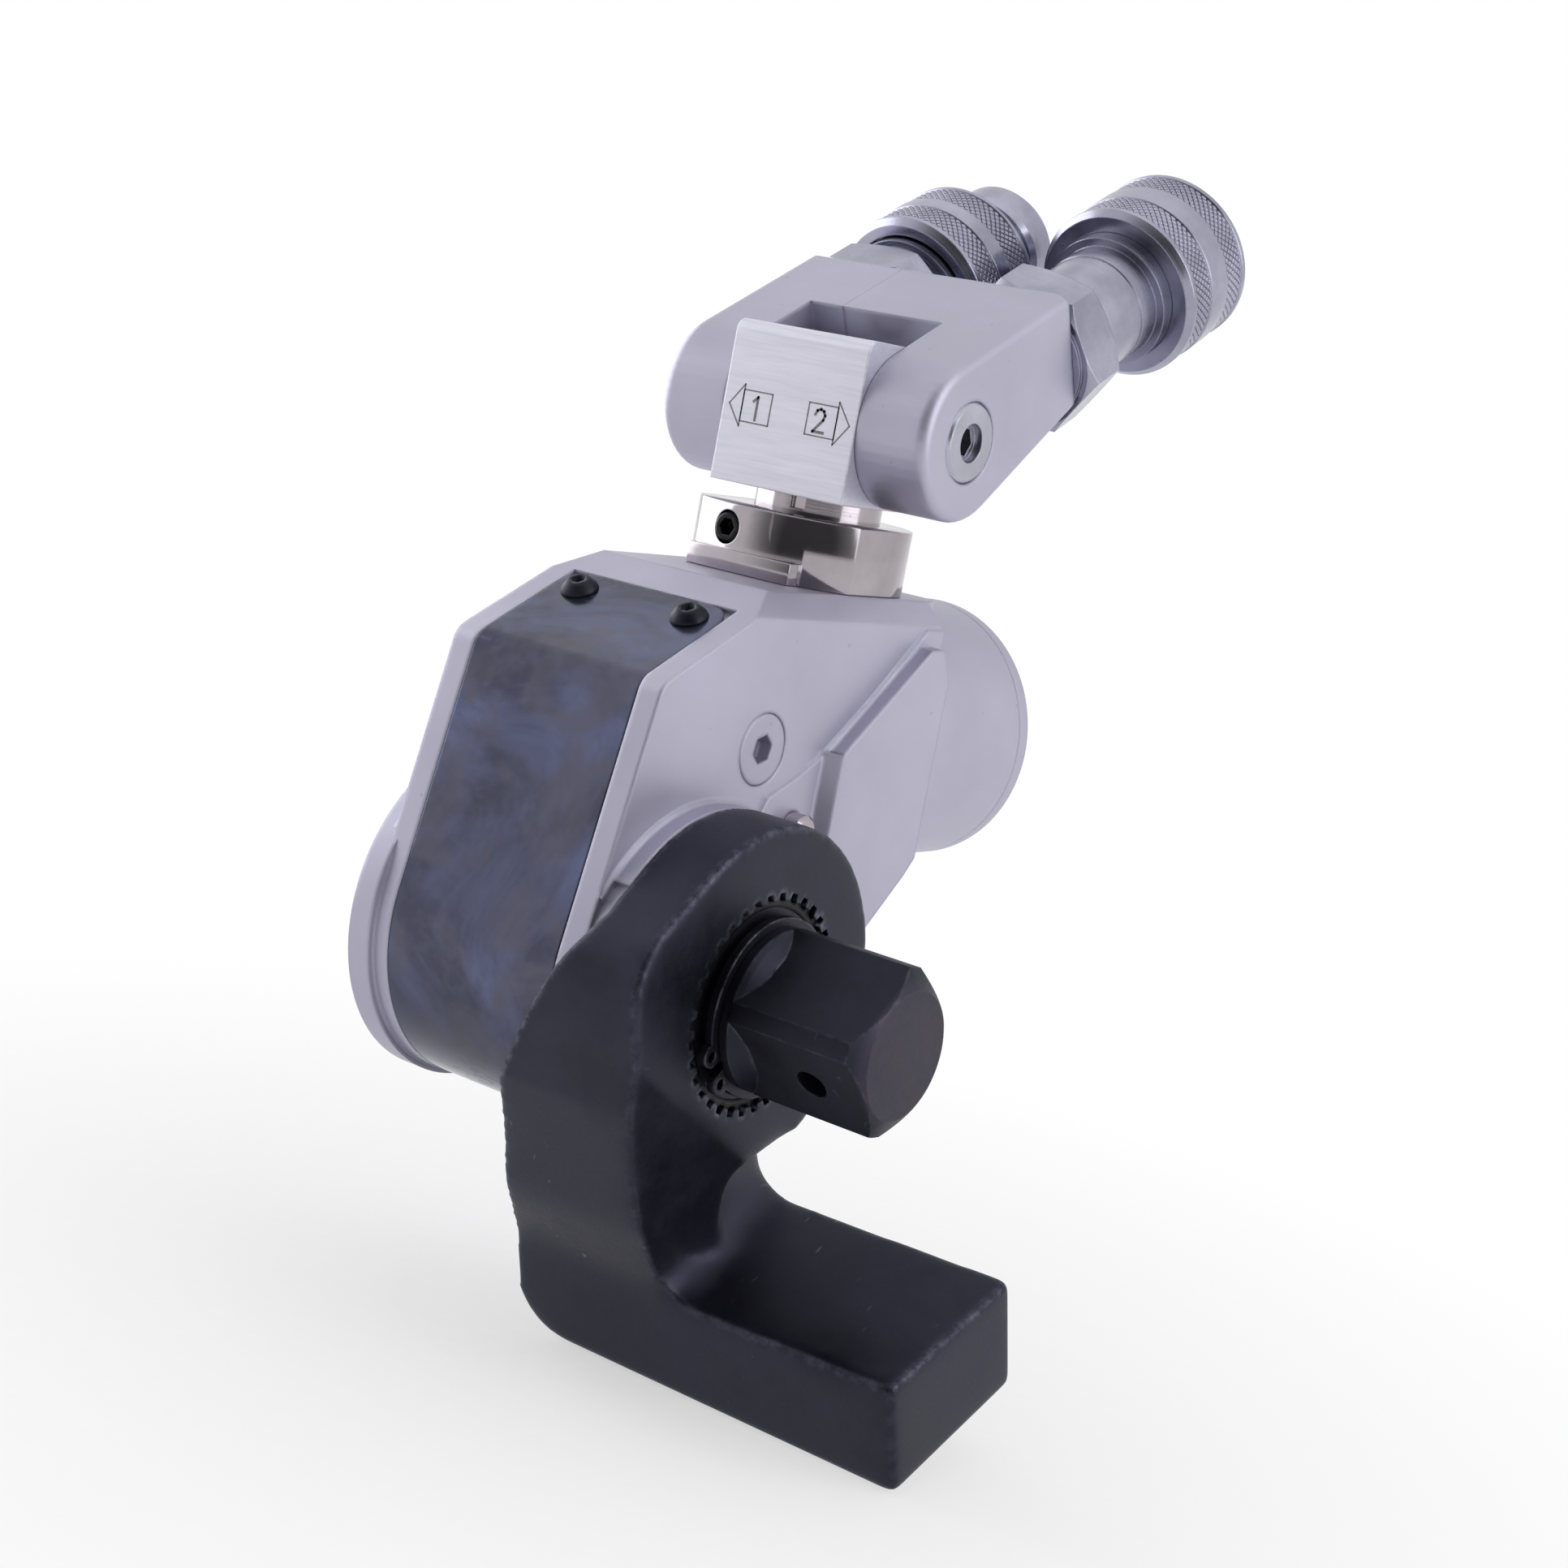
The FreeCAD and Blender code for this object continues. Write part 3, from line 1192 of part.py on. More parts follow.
def main():
    """Build and write every node."""
    os.makedirs("parts", exist_ok=True)
    save("housing", housing())
    save("front_cover", front_cover())
    save("cover_screws", cover_screws())
    save("side_plug_right", side_plug(1))
    save("side_plug_left", side_plug(-1))
    save("latch_button", latch_button())
    save("latch_spring", latch_spring())
    save("drive_shaft", drive_shaft())
    save("drive_circlip", drive_circlip())
    save("ratchet_wheel", ratchet_wheel())
    save("bush_right", bush(1))
    save("bush_left", bush(-1))
    save("drive_cap", drive_cap())
    save("cap_ring", cap_ring())
    save("release_button", release_button())
    save("lever_plate_right", lever_plate(1))
    save("lever_plate_left", lever_plate(-1))
    save("lever_pins", lever_pins())
    save("pawl_guide", turn_x(pawl_guide(), -LEVER_SWING / 2.0))
    save("ratchet_pawl", turn_x(pawl(), -LEVER_SWING / 2.0))
    save("pawl_springs", [turn_x(c, -LEVER_SWING / 2.0) for c in pawl_springs()])
    save("rod_pin", rod_pin())
    save("piston_rod", piston_rod())
    save("piston", piston())
    save("piston_seals", piston_seals())
    save("rod_gland", rod_gland())
    save("gland_seal", gland_seal())
    save("cylinder_cap", cylinder_cap())
    save("cylinder_cap_seal", cap_seal())
    save("swivel_clamp", swivel_clamp())
    save("clamp_set_screw", clamp_set_screw())
    save("swivel_post", swivel_post())
    save("post_seals", post_seals())
    save("swivel_block", swivel_block())
    save("block_screw", block_screw())
    save("yoke_right", yoke_half(1))
    save("yoke_left", yoke_half(-1))
    save("yoke_bolts", yoke_bolts())
    save("pivot_pin_right", pivot_pin(1))
    save("pivot_pin_left", pivot_pin(-1))
    save("coupler_body_right", nipple_right())
    save("coupler_collar_right", collar_right())
    save("coupler_poppet_right", poppet(1, 60.0))
    save("coupler_body_left", nipple_left())
    save("coupler_nose_left", plug_left())
    save("coupler_collar_left", collar_left())
    save("reaction_arm", reaction_arm())


main()
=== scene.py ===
"""Finishes, knurling and marks of a square-drive hydraulic torque wrench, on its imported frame."""

import json
import math

import bmesh
import bpy
import numpy as np
from mathutils import Euler, Matrix, Vector

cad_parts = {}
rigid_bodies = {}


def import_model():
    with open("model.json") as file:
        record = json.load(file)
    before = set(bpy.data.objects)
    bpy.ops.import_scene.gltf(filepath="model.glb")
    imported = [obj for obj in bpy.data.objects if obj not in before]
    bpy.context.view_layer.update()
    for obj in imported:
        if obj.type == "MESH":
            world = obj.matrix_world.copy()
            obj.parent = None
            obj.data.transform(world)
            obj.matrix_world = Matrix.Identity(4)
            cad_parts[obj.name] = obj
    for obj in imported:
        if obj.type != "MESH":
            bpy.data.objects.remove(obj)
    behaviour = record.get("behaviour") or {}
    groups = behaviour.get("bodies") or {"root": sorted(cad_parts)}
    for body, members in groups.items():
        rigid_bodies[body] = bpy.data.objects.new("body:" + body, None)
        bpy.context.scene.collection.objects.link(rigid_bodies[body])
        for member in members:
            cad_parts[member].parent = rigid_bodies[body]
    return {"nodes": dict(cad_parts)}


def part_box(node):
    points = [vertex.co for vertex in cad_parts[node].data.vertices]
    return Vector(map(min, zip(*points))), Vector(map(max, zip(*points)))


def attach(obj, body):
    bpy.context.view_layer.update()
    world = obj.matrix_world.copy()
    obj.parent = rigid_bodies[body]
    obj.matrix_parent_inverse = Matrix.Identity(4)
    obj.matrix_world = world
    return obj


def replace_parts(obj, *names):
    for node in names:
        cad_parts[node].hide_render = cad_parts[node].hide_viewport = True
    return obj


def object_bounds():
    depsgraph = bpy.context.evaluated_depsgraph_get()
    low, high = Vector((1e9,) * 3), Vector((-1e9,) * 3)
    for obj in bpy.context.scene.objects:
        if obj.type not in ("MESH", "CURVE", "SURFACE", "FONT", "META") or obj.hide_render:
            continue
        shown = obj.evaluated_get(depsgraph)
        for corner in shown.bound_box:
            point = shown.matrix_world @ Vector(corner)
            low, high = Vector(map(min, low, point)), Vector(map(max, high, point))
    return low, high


bl_info = {
    "name": "Hydraulic torque wrench",
    "version": (1, 0, 0),
    "blender": (4, 5, 0),
    "location": "View3D > Sidebar > Torque Wrench",
    "description": "Finishes and small pieces of a square-drive hydraulic torque wrench",
    "category": "Object",
}

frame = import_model()
CAD_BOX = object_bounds()
NODES = frame["nodes"]

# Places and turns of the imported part, in metres and radians
MID_X = -0.0583
PIVOT = Vector((MID_X, 0.040, 0.082))
TILT = math.radians(28.0)
COUPLER_OFFSET = 0.0156
COUPLER_RISE = 0.0002
FLOOR_Z = CAD_BOX[0][2]
MIDDLE = (MID_X, 0.02, 0.02)
ARM_TURN = math.radians(21.36)
# X from which the housing's splines in the drive bore are painted near-black as shade
BORE_SHADE_X = -0.0362
SLOPE_TILT = math.radians(27.3)
HOLLOW = (-0.0305, 0.0116, -0.0325)
RIGHT_BANDS = (0.0602, 0.0704)
LEFT_BANDS = (0.0452, 0.0536)
POST_BORE = 0.01005
SET_SCREW_HOLE = 0.00262
LEDGE_BACK = 0.031

# The upper cover screws: height of a head in metres, and the share of its size that it keeps
SCREW_HEAD = 0.0022
HEAD_SHARE = 0.78

# How the arm is eased: degrees from blended to crisp, the share of crispness that each point hands
# to the next, and lengths in metres
CRISP_SPAN = 6.0
CRISP_FADE = 0.8
FRONT_SLACK = 0.0003
KEEP_FADE = 0.002
HOLLOW_FADE = 0.004
HOLLOW_RIM = 0.003
FILL_LAP = 0.0002
SPLINE_ROOM = (0.012, 0.004)

# The room: where the camera stands, and its two shades as from low, from high, to low, to high
CAMERA_SIDE = (0.50, -0.86, 0.05)
ROOM_SHADE = (0.50, 0.90, 0.56, 0.07)
ROOM_WHITE = (0.42, 0.84, 0.95, 0.0)

# The marks on the block, in millimetres: a box and a head, out from the middle and up, and two figures
MM = 0.001
ARROW_BOX = ((3.5, 78.75), (3.5, 83.6), (8.9, 83.6), (8.9, 78.75), (3.5, 78.75))
ARROW_HEAD = ((8.9, 77.95), (11.35, 81.17), (8.9, 84.4), (8.9, 77.95))
ONE = ((-65.1, 82.1), (-64.4, 82.75), (-64.4, 79.3))
TWO = (
    (-53.4, 82.0), (-53.1, 82.6), (-52.5, 82.85), (-51.9, 82.6), (-51.6, 82.0), (-51.8, 81.3),
    (-53.4, 79.4), (-51.5, 79.4))

# A knurl point's top and foot, as shares of the step from one to the next
POINT_TOP = 0.34
POINT_FOOT = 0.5

# Small lengths in metres, and the number of steps in an arc
RIDGE_SINK = 0.0005
RIDGE_ENDS = (0.0008, 0.0002)
MARK_DEPTH = 0.00008
MARK_SUNK = 0.00005
RIM = 0.00025
CUT = 0.02
ARC_STEPS = 48
FLOOR_RADIUS = 2.5
FLOOR_DROP = 0.0003


def mapped(tree, source, numbers):
    """Source mapped by (from low, from high, to low, to high) and clamped."""
    node = tree.nodes.new("ShaderNodeMapRange")
    for key, value in zip(("From Min", "From Max", "To Min", "To Max"), numbers):
        node.inputs[key].default_value = value
    tree.links.new(source, node.inputs["Value"])
    return node.outputs["Result"]


def combined(tree, operation, a, b):
    """Two sockets joined by one Math node."""
    node = tree.nodes.new("ShaderNodeMath")
    node.operation = operation
    tree.links.new(a, node.inputs[0])
    tree.links.new(b, node.inputs[1])
    return node.outputs[0]


class Finish:
    """One procedural material on Object coordinates, built node by node."""

    def __init__(self, name, colour, metallic, roughness):
        self.mat = bpy.data.materials.new(name)
        self.mat.use_nodes = True
        self.mat.diffuse_color = (*colour, 1.0)
        self.tree = self.mat.node_tree
        self.surface = self.tree.nodes["Principled BSDF"]
        self.surface.inputs["Base Color"].default_value = (*colour, 1.0)
        self.surface.inputs["Metallic"].default_value = metallic
        self.surface.inputs["Roughness"].default_value = roughness
        self.coords = self.tree.nodes.new("ShaderNodeTexCoord").outputs["Object"]

    def new(self, kind, **settings):
        node = self.tree.nodes.new(kind)
        for key, value in settings.items():
            setattr(node, key, value)
        return node

    def link(self, source, target):
        self.tree.links.new(source, target)

    def place(self, scale=(1, 1, 1), turn=(0, 0, 0), move=(0, 0, 0)):
        """Object coordinates moved, turned and stretched."""
        node = self.new("ShaderNodeMapping")
        node.inputs["Location"].default_value = move
        node.inputs["Rotation"].default_value = turn
        node.inputs["Scale"].default_value = scale
        self.link(self.coords, node.inputs["Vector"])
        return node.outputs["Vector"]

    def noise(self, scale, detail=2.0, rough=0.5, warp=0.0, at=None):
        node = self.new("ShaderNodeTexNoise")
        node.inputs["Scale"].default_value = scale
        node.inputs["Detail"].default_value = detail
        node.inputs["Roughness"].default_value = rough
        node.inputs["Distortion"].default_value = warp
        self.link(at or self.coords, node.inputs["Vector"])
        return node.outputs["Fac"]

    def cells(self, scale, at=None, feature="F1"):
        node = self.new("ShaderNodeTexVoronoi", feature=feature)
        node.inputs["Scale"].default_value = scale
        self.link(at or self.coords, node.inputs["Vector"])
        return node.outputs["Distance"]

    def waves(self, scale, warp, detail, at, kind="RINGS"):
        node = self.new("ShaderNodeTexWave", wave_type=kind)
        node.inputs["Scale"].default_value = scale
        node.inputs["Distortion"].default_value = warp
        node.inputs["Detail"].default_value = detail
        self.link(at, node.inputs["Vector"])
        return node.outputs["Fac"]

    def span(self, source, low, high, out_low=0.0, out_high=1.0):
        """Source mapped from low..high to out_low..out_high and clamped."""
        return mapped(self.tree, source, (low, high, out_low, out_high))

    def math(self, operation, a, b):
        node = self.new("ShaderNodeMath", operation=operation)
        for socket, value in zip(node.inputs, (a, b)):
            if isinstance(value, (int, float)):
                socket.default_value = value
            else:
                self.link(value, socket)
        return node.outputs["Value"]

    def blend(self, factor, a, b):
        """Colour a where factor is 0, colour b where it is 1."""
        node = self.new("ShaderNodeMix", data_type="RGBA")
        self.link(factor, node.inputs["Factor"])
        for socket, value in ((node.inputs[6], a), (node.inputs[7], b)):
            if isinstance(value, tuple):
                socket.default_value = (*value, 1.0)
            else:
                self.link(value, socket)
        return node.outputs[2]

    def axis(self, name, at=None):
        node = self.new("ShaderNodeSeparateXYZ")
        self.link(at or self.coords, node.inputs["Vector"])
        return node.outputs[name]

    def off_axis(self):
        """Distance from the drive axis."""
        flat = self.place(scale=(0.0, 1.0, 1.0))
        node = self.new("ShaderNodeVectorMath", operation="LENGTH")
        self.link(flat, node.inputs[0])
        return node.outputs["Value"]

    def edges(self, width, low=0.06, high=0.35):
        """1 on edges about as wide as given, 0 on flats."""
        bevel = self.new("ShaderNodeBevel", samples=4)
        bevel.inputs["Radius"].default_value = width
        plain = self.new("ShaderNodeNewGeometry")
        dot = self.new("ShaderNodeVectorMath", operation="DOT_PRODUCT")
        self.link(bevel.outputs["Normal"], dot.inputs[0])
        self.link(plain.outputs["Normal"], dot.inputs[1])
        away = self.math("SUBTRACT", 1.0, dot.outputs["Value"])
        return self.span(away, low * 0.2, high * 0.5)

    def relief(self, height, strength, distance, soften=0.0):
        """Bump on the surface, over edges rounded by soften."""
        bump = self.new("ShaderNodeBump")
        bump.inputs["Strength"].default_value = strength
        bump.inputs["Distance"].default_value = distance
        self.link(height, bump.inputs["Height"])
        if soften:
            bevel = self.new("ShaderNodeBevel", samples=4)
            bevel.inputs["Radius"].default_value = soften
            self.link(bevel.outputs["Normal"], bump.inputs["Normal"])
        self.link(bump.outputs["Normal"], self.surface.inputs["Normal"])

    def colour(self, source):
        self.link(source, self.surface.inputs["Base Color"])

    def rough(self, source):
        self.link(source, self.surface.inputs["Roughness"])


def blasted_aluminium(name, colour):
    """Satin, bead-blasted and clear-anodised aluminium, with the splines in the drive bore painted
    near-black as shade.
    """
    f = Finish(name, colour, 0.62, 0.46)
    cloud = f.noise(28.0, 4.0, 0.6)
    grain = f.noise(3200.0, 2.0, 0.7)
    darker = tuple(c * 0.86 for c in colour)
    tone = f.blend(f.span(cloud, 0.3, 0.7), darker, colour)
    wear = f.math("MULTIPLY", f.edges(0.0005), f.span(f.noise(160.0, 3.0), 0.35, 0.6))
    lighter = tuple(min(1.0, c * 1.25) for c in colour)
    tone = f.blend(f.math("MULTIPLY", wear, 0.6), tone, lighter)
    specks = f.span(f.cells(170.0), 0.035, 0.055)
    tone = f.blend(f.span(specks, 0.0, 1.0, 0.35, 0.0), tone, (0.22, 0.22, 0.23))
    # Inside the drive bore, in front of the X set above and within 17.5 to 18 mm of the axis, the housing's
    # splines are painted near-black: painted shade where they lie between the housing and the arm.
    outside = f.span(f.axis("X"), BORE_SHADE_X, BORE_SHADE_X + 0.0001)
    painted_bore_shade = f.math("MULTIPLY", outside, f.span(f.off_axis(), 0.0175, 0.0180, 1.0, 0.0))
    tone = f.blend(painted_bore_shade, tone, (0.012, 0.011, 0.014))
    f.colour(tone)
    f.rough(f.math("ADD", f.span(grain, 0.3, 0.7, 0.37, 0.47), f.span(cloud, 0.3, 0.7, -0.03, 0.03)))
    f.relief(grain, 0.10, 0.0001, 0.0009)
    return f.mat


def blued_sheet(name):
    """Blued and polished spring-steel sheet with swirls and brown-blue clouds, and painted shade towards the
    bottom.
    """
    f = Finish(name, (0.08, 0.085, 0.13), 0.85, 0.20)
    cloud = f.noise(40.0, 5.0, 0.62, 0.6)
    spot = f.noise(90.0, 3.0, 0.5, 1.0)
    fine = f.noise(420.0, 3.0, 0.6, 0.4)
    tone = f.blend(f.span(cloud, 0.42, 0.60), (0.066, 0.067, 0.104), (0.118, 0.134, 0.236))
    tone = f.blend(f.span(spot, 0.48, 0.64, 0.0, 0.65), tone, (0.108, 0.100, 0.132))
    tone = f.blend(f.span(fine, 0.45, 0.75, 0.0, 0.35), tone, (0.120, 0.130, 0.190))
    # The sheet is painted darker from Z = -2 mm down to Z = -16 mm, most at the bottom: painted shade.
    tone = f.blend(f.span(f.axis("Z"), -0.016, -0.002, 0.6, 0.0), tone, (0.034, 0.037, 0.056))
    f.colour(tone)
    centre = f.place(move=(0.060, 0.0, -0.012))
    swirl = f.waves(300.0, 9.0, 2.0, centre)
    patch = f.span(f.noise(60.0, 2.0, 0.5, 0.3), 0.46, 0.60)
    scuff = f.math("MULTIPLY", f.span(swirl, 0.45, 0.9), patch)
    haze = f.span(cloud, 0.35, 0.65, 0.09, 0.20)
    f.rough(f.math("ADD", haze, f.math("MULTIPLY", scuff, 0.12)))
    f.relief(f.math("ADD", f.math("MULTIPLY", scuff, 0.10), f.noise(900.0, 2.0)), 0.05, 0.0001, 0.0004)
    return f.mat


def black_oxide(name, base=(0.018, 0.018, 0.026), wear_tone=(0.16, 0.16, 0.20), rust=0.0,
                wear=0.0006, worn_from=(0.06, 0.35)):
    """Oil-blacked steel, rubbed lighter along its edges, over the width wear."""
    f = Finish(name, base, 0.85, 0.42)
    cloud = f.noise(55.0, 5.0, 0.65)
    grain = f.noise(1900.0, 3.0, 0.7)
    tone = f.blend(f.span(cloud, 0.35, 0.68), base, tuple(c * 1.7 for c in base))
    if rust:
        face = f.span(f.axis("X"), -0.0012, -0.0004)
        patches = f.span(f.noise(150.0, 4.0, 0.6), 0.4, 0.65)
        warm = f.blend(patches, (0.046, 0.042, 0.064), (0.064, 0.052, 0.070))
        tone = f.blend(f.math("MULTIPLY", face, rust), tone, warm)
    ragged = f.span(f.noise(420.0, 4.0, 0.7), 0.42, 0.62)
    worn = f.math("MULTIPLY", f.edges(wear, *worn_from), ragged)
    fine = f.place(scale=(1.0, 0.06, 0.5), turn=(0.4, 0.3, 0.8))
    scratch = f.span(f.noise(900.0, 2.0, 0.5, 0.4, fine), 0.70, 0.76)
    rub = f.math("MULTIPLY", scratch, f.span(f.noise(40.0, 2.0), 0.5, 0.62, 0.0, 0.5))
    f.colour(f.blend(f.math("MAXIMUM", f.math("MULTIPLY", worn, 0.75), rub), tone, wear_tone))
    f.rough(f.span(f.math("ADD", cloud, f.math("MULTIPLY", grain, 0.4)), 0.5, 0.9, 0.36, 0.54))
    f.relief(grain, 0.16, 0.0001, 0.0004)
    return f.mat


def nickel_plate(name):
    """Bright nickel with a warm tint, light scratches and fingerprints."""
    f = Finish(name, (0.44, 0.40, 0.44), 1.0, 0.16)
    cloud = f.noise(70.0, 4.0, 0.6)
    lines = f.noise(1.0, 3.0, 0.6, 0.0, f.place(scale=(60.0, 60.0, 2600.0)))
    f.colour(f.blend(f.span(cloud, 0.35, 0.7), (0.33, 0.30, 0.325), (0.44, 0.405, 0.435)))
    slant = f.place(scale=(1.0, 0.2, 0.12), turn=(0.5, 0.0, 0.4))
    nick = f.span(f.noise(700.0, 2.0, 0.5, 0.8, slant), 0.69, 0.74)
    f.rough(f.math("ADD", f.span(cloud, 0.3, 0.7, 0.07, 0.15), f.math("MULTIPLY", nick, 0.3)))
    f.relief(f.math("ADD", f.math("MULTIPLY", lines, 0.35), nick), 0.10, 0.0001, 0.0003)
    return f.mat


def brushed_block(name):
    """Aluminium with a fine straight grain across the front."""
    f = Finish(name, (0.72, 0.71, 0.80), 0.70, 0.34)
    grain = f.noise(1.0, 4.0, 0.65, 0.0, f.place(scale=(110.0, 600.0, 2400.0)))
    cloud = f.noise(60.0, 3.0)
    f.colour(f.blend(f.span(grain, 0.3, 0.7), (0.66, 0.65, 0.75), (0.76, 0.75, 0.84)))
    f.rough(f.math("ADD", f.span(grain, 0.3, 0.7, 0.30, 0.42), f.span(cloud, 0.3, 0.7, -0.02, 0.03)))
    f.relief(grain, 0.12, 0.0001, 0.0004)
    return f.mat


def turned_zinc(name, side):
    """Zinc-plated turned steel, with rings round a coupler's axis."""
    x = MID_X + side * COUPLER_OFFSET
    f = Finish(name, (0.42, 0.42, 0.52), 1.0, 0.26)
    rise = PIVOT.y * math.sin(-TILT) + PIVOT.z * math.cos(TILT) + COUPLER_RISE
    local = f.place(turn=(-TILT, 0.0, 0.0), move=(-x, 0.0, -rise))
    stretch = f.new("ShaderNodeMapping")
    stretch.inputs["Scale"].default_value = (24.0, 2300.0, 24.0)
    f.link(local, stretch.inputs["Vector"])
    rings = f.noise(1.0, 3.0, 0.6, 0.0, stretch.outputs["Vector"])
    cloud = f.noise(90.0, 4.0, 0.6)
    f.colour(f.blend(f.span(cloud, 0.35, 0.7), (0.29, 0.29, 0.37), (0.42, 0.42, 0.52)))
    f.rough(f.math("ADD", f.span(rings, 0.3, 0.7, 0.18, 0.30), f.span(cloud, 0.3, 0.7, -0.03, 0.05)))
    grooves = f.math("ADD", f.math("MULTIPLY", rings, 0.7), f.math("MULTIPLY", cloud, 0.2))
    f.relief(grooves, 0.16, 0.0001, 0.0003)
    return f.mat


def machined_steel(name, colour=(0.42, 0.42, 0.48)):
    """Ground steel of the inner mechanism, lightly oiled."""
    f = Finish(name, colour, 1.0, 0.3)
    grain = f.noise(1.0, 3.0, 0.6, 0.0, f.place(scale=(1800.0, 120.0, 120.0)))
    film = f.noise(120.0, 3.0)
    f.colour(f.blend(f.span(film, 0.35, 0.7), tuple(c * 0.8 for c in colour), colour))
    f.rough(f.span(grain, 0.3, 0.7, 0.22, 0.38))
    f.relief(grain, 0.12, 0.0001, 0.0003)
    return f.mat


def bearing_bronze(name):
    """Turned bronze of the bushes and the gland."""
    f = Finish(name, (0.52, 0.33, 0.14), 1.0, 0.3)
    grain = f.noise(1500.0, 3.0, 0.7)
    f.colour(f.blend(f.span(f.noise(130.0, 3.0), 0.35, 0.7), (0.42, 0.25, 0.10), (0.60, 0.40, 0.19)))
    f.rough(f.span(grain, 0.3, 0.7, 0.26, 0.42))
    f.relief(grain, 0.08, 0.0001)
    return f.mat


def seal_rubber(name):
    """Black nitrile rubber with a slight bloom."""
    f = Finish(name, (0.018, 0.018, 0.018), 0.0, 0.6)
    bloom = f.noise(300.0, 3.0)
    f.colour(f.blend(f.span(bloom, 0.4, 0.7), (0.014, 0.014, 0.014), (0.035, 0.035, 0.036)))
    f.rough(f.span(bloom, 0.3, 0.7, 0.5, 0.7))
    f.relief(bloom, 0.1, 0.0001)
    return f.mat


def etched_mark(name):
    """Dark laser-etched line on the block."""
    f = Finish(name, (0.20, 0.20, 0.21), 0.3, 0.6)
    grain = f.noise(2400.0, 2.0)
    f.colour(f.blend(f.span(grain, 0.3, 0.7), (0.16, 0.16, 0.17), (0.30, 0.30, 0.31)))
    f.relief(grain, 0.1, 0.0001)
    return f.mat


def dress(material, *names):
    """Give CAD nodes a finish in place of their plain one."""
    for name in names:
        if name not in NODES:
            raise RuntimeError("no CAD node called " + name)
        for slot in NODES[name].material_slots:
            slot.material = material


def placed(name, data):
    """A new object in the scene, at the origin."""
    thing = bpy.data.objects.new(name, data)
    bpy.context.scene.collection.objects.link(thing)
    return thing


def as_mesh(name, bm):
    """A new mesh made of a bmesh, which is freed."""
    mesh = bpy.data.meshes.new(name)
    bm.to_mesh(mesh)
    bm.free()
    return mesh


def smooth_but(mesh, degrees):
    """Shade a mesh smooth, except over edges sharper than the angle."""
    mesh.shade_smooth()
    mesh.set_sharp_from_angle(angle=math.radians(degrees))


def finished(mesh, name, material, body):
    """A mesh as a piece at the origin that rides on a body."""
    piece = placed(name, mesh)
    mesh.materials.clear()
    mesh.materials.append(material)
    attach(piece, body)
    return piece


def coupler_matrix(side):
    """From a level coupler frame (axis along +Y from the pivot) to the row frame."""
    lift = Matrix.Translation((0.0, 0.0, COUPLER_RISE))
    seat = Matrix.Translation((MID_X + side * COUPLER_OFFSET, PIVOT.y, PIVOT.z))
    return seat @ Matrix.Rotation(TILT, 4, "X") @ lift


def plain_mesh(host):
    """What an object's modifiers make, as a plain mesh; the object goes."""
    bpy.context.view_layer.update()
    graph = bpy.context.evaluated_depsgraph_get()
    mesh = bpy.data.meshes.new_from_object(host.evaluated_get(graph))
    bpy.data.objects.remove(host, do_unlink=True)
    return mesh


def settled(mesh, steps, shares=None):
    """The mesh after modifiers (kind, settings) as a plain new mesh; shares are one group's weights."""
    host = placed("host", mesh)
    if shares is not None:
        group = host.vertex_groups.new(name="share")
        for index, share in enumerate(shares):
            group.add([index], float(share), "REPLACE")
    for kind, settings in steps:
        modifier = host.modifiers.new(kind.lower(), kind)
        for key, value in settings.items():
            setattr(modifier, key, value)
    return plain_mesh(host)


def merged_copy(name):
    """A closed copy of a CAD node's mesh, its loose corners joined."""
    bm = bmesh.new()
    bm.from_mesh(NODES[name].data)
    bmesh.ops.remove_doubles(bm, verts=bm.verts[:], dist=1e-6)
    return as_mesh(name + "_copy", bm)


def bar(radius, depth, centre, turn, segments):
    """A bmesh cylinder about a centre, its axis Z turned by a matrix."""
    bm = bmesh.new()
    bmesh.ops.create_cone(
        bm, cap_ends=True, segments=segments, radius1=radius, radius2=radius, depth=depth,
        matrix=Matrix.Translation(centre) @ turn)
    return bm


def drive_bar(x0, x1, radius):
    """A bmesh cylinder about the drive axis, from X = x0 to X = x1."""
    return bar(radius, x1 - x0, ((x0 + x1) / 2.0, 0.0, 0.0), Matrix.Rotation(math.radians(90.0), 4, "Y"), 96)


def corners(mesh, name="co"):
    """The places or normals of a mesh's points as rows of three."""
    values = np.empty(len(mesh.vertices) * 3)
    mesh.vertices.foreach_get(name, values)
    return values.reshape(-1, 3)


def from_hollow(points):
    """How far points are from the middle of the hollow above the foot."""
    return np.linalg.norm(points - np.array(HOLLOW), axis=1)


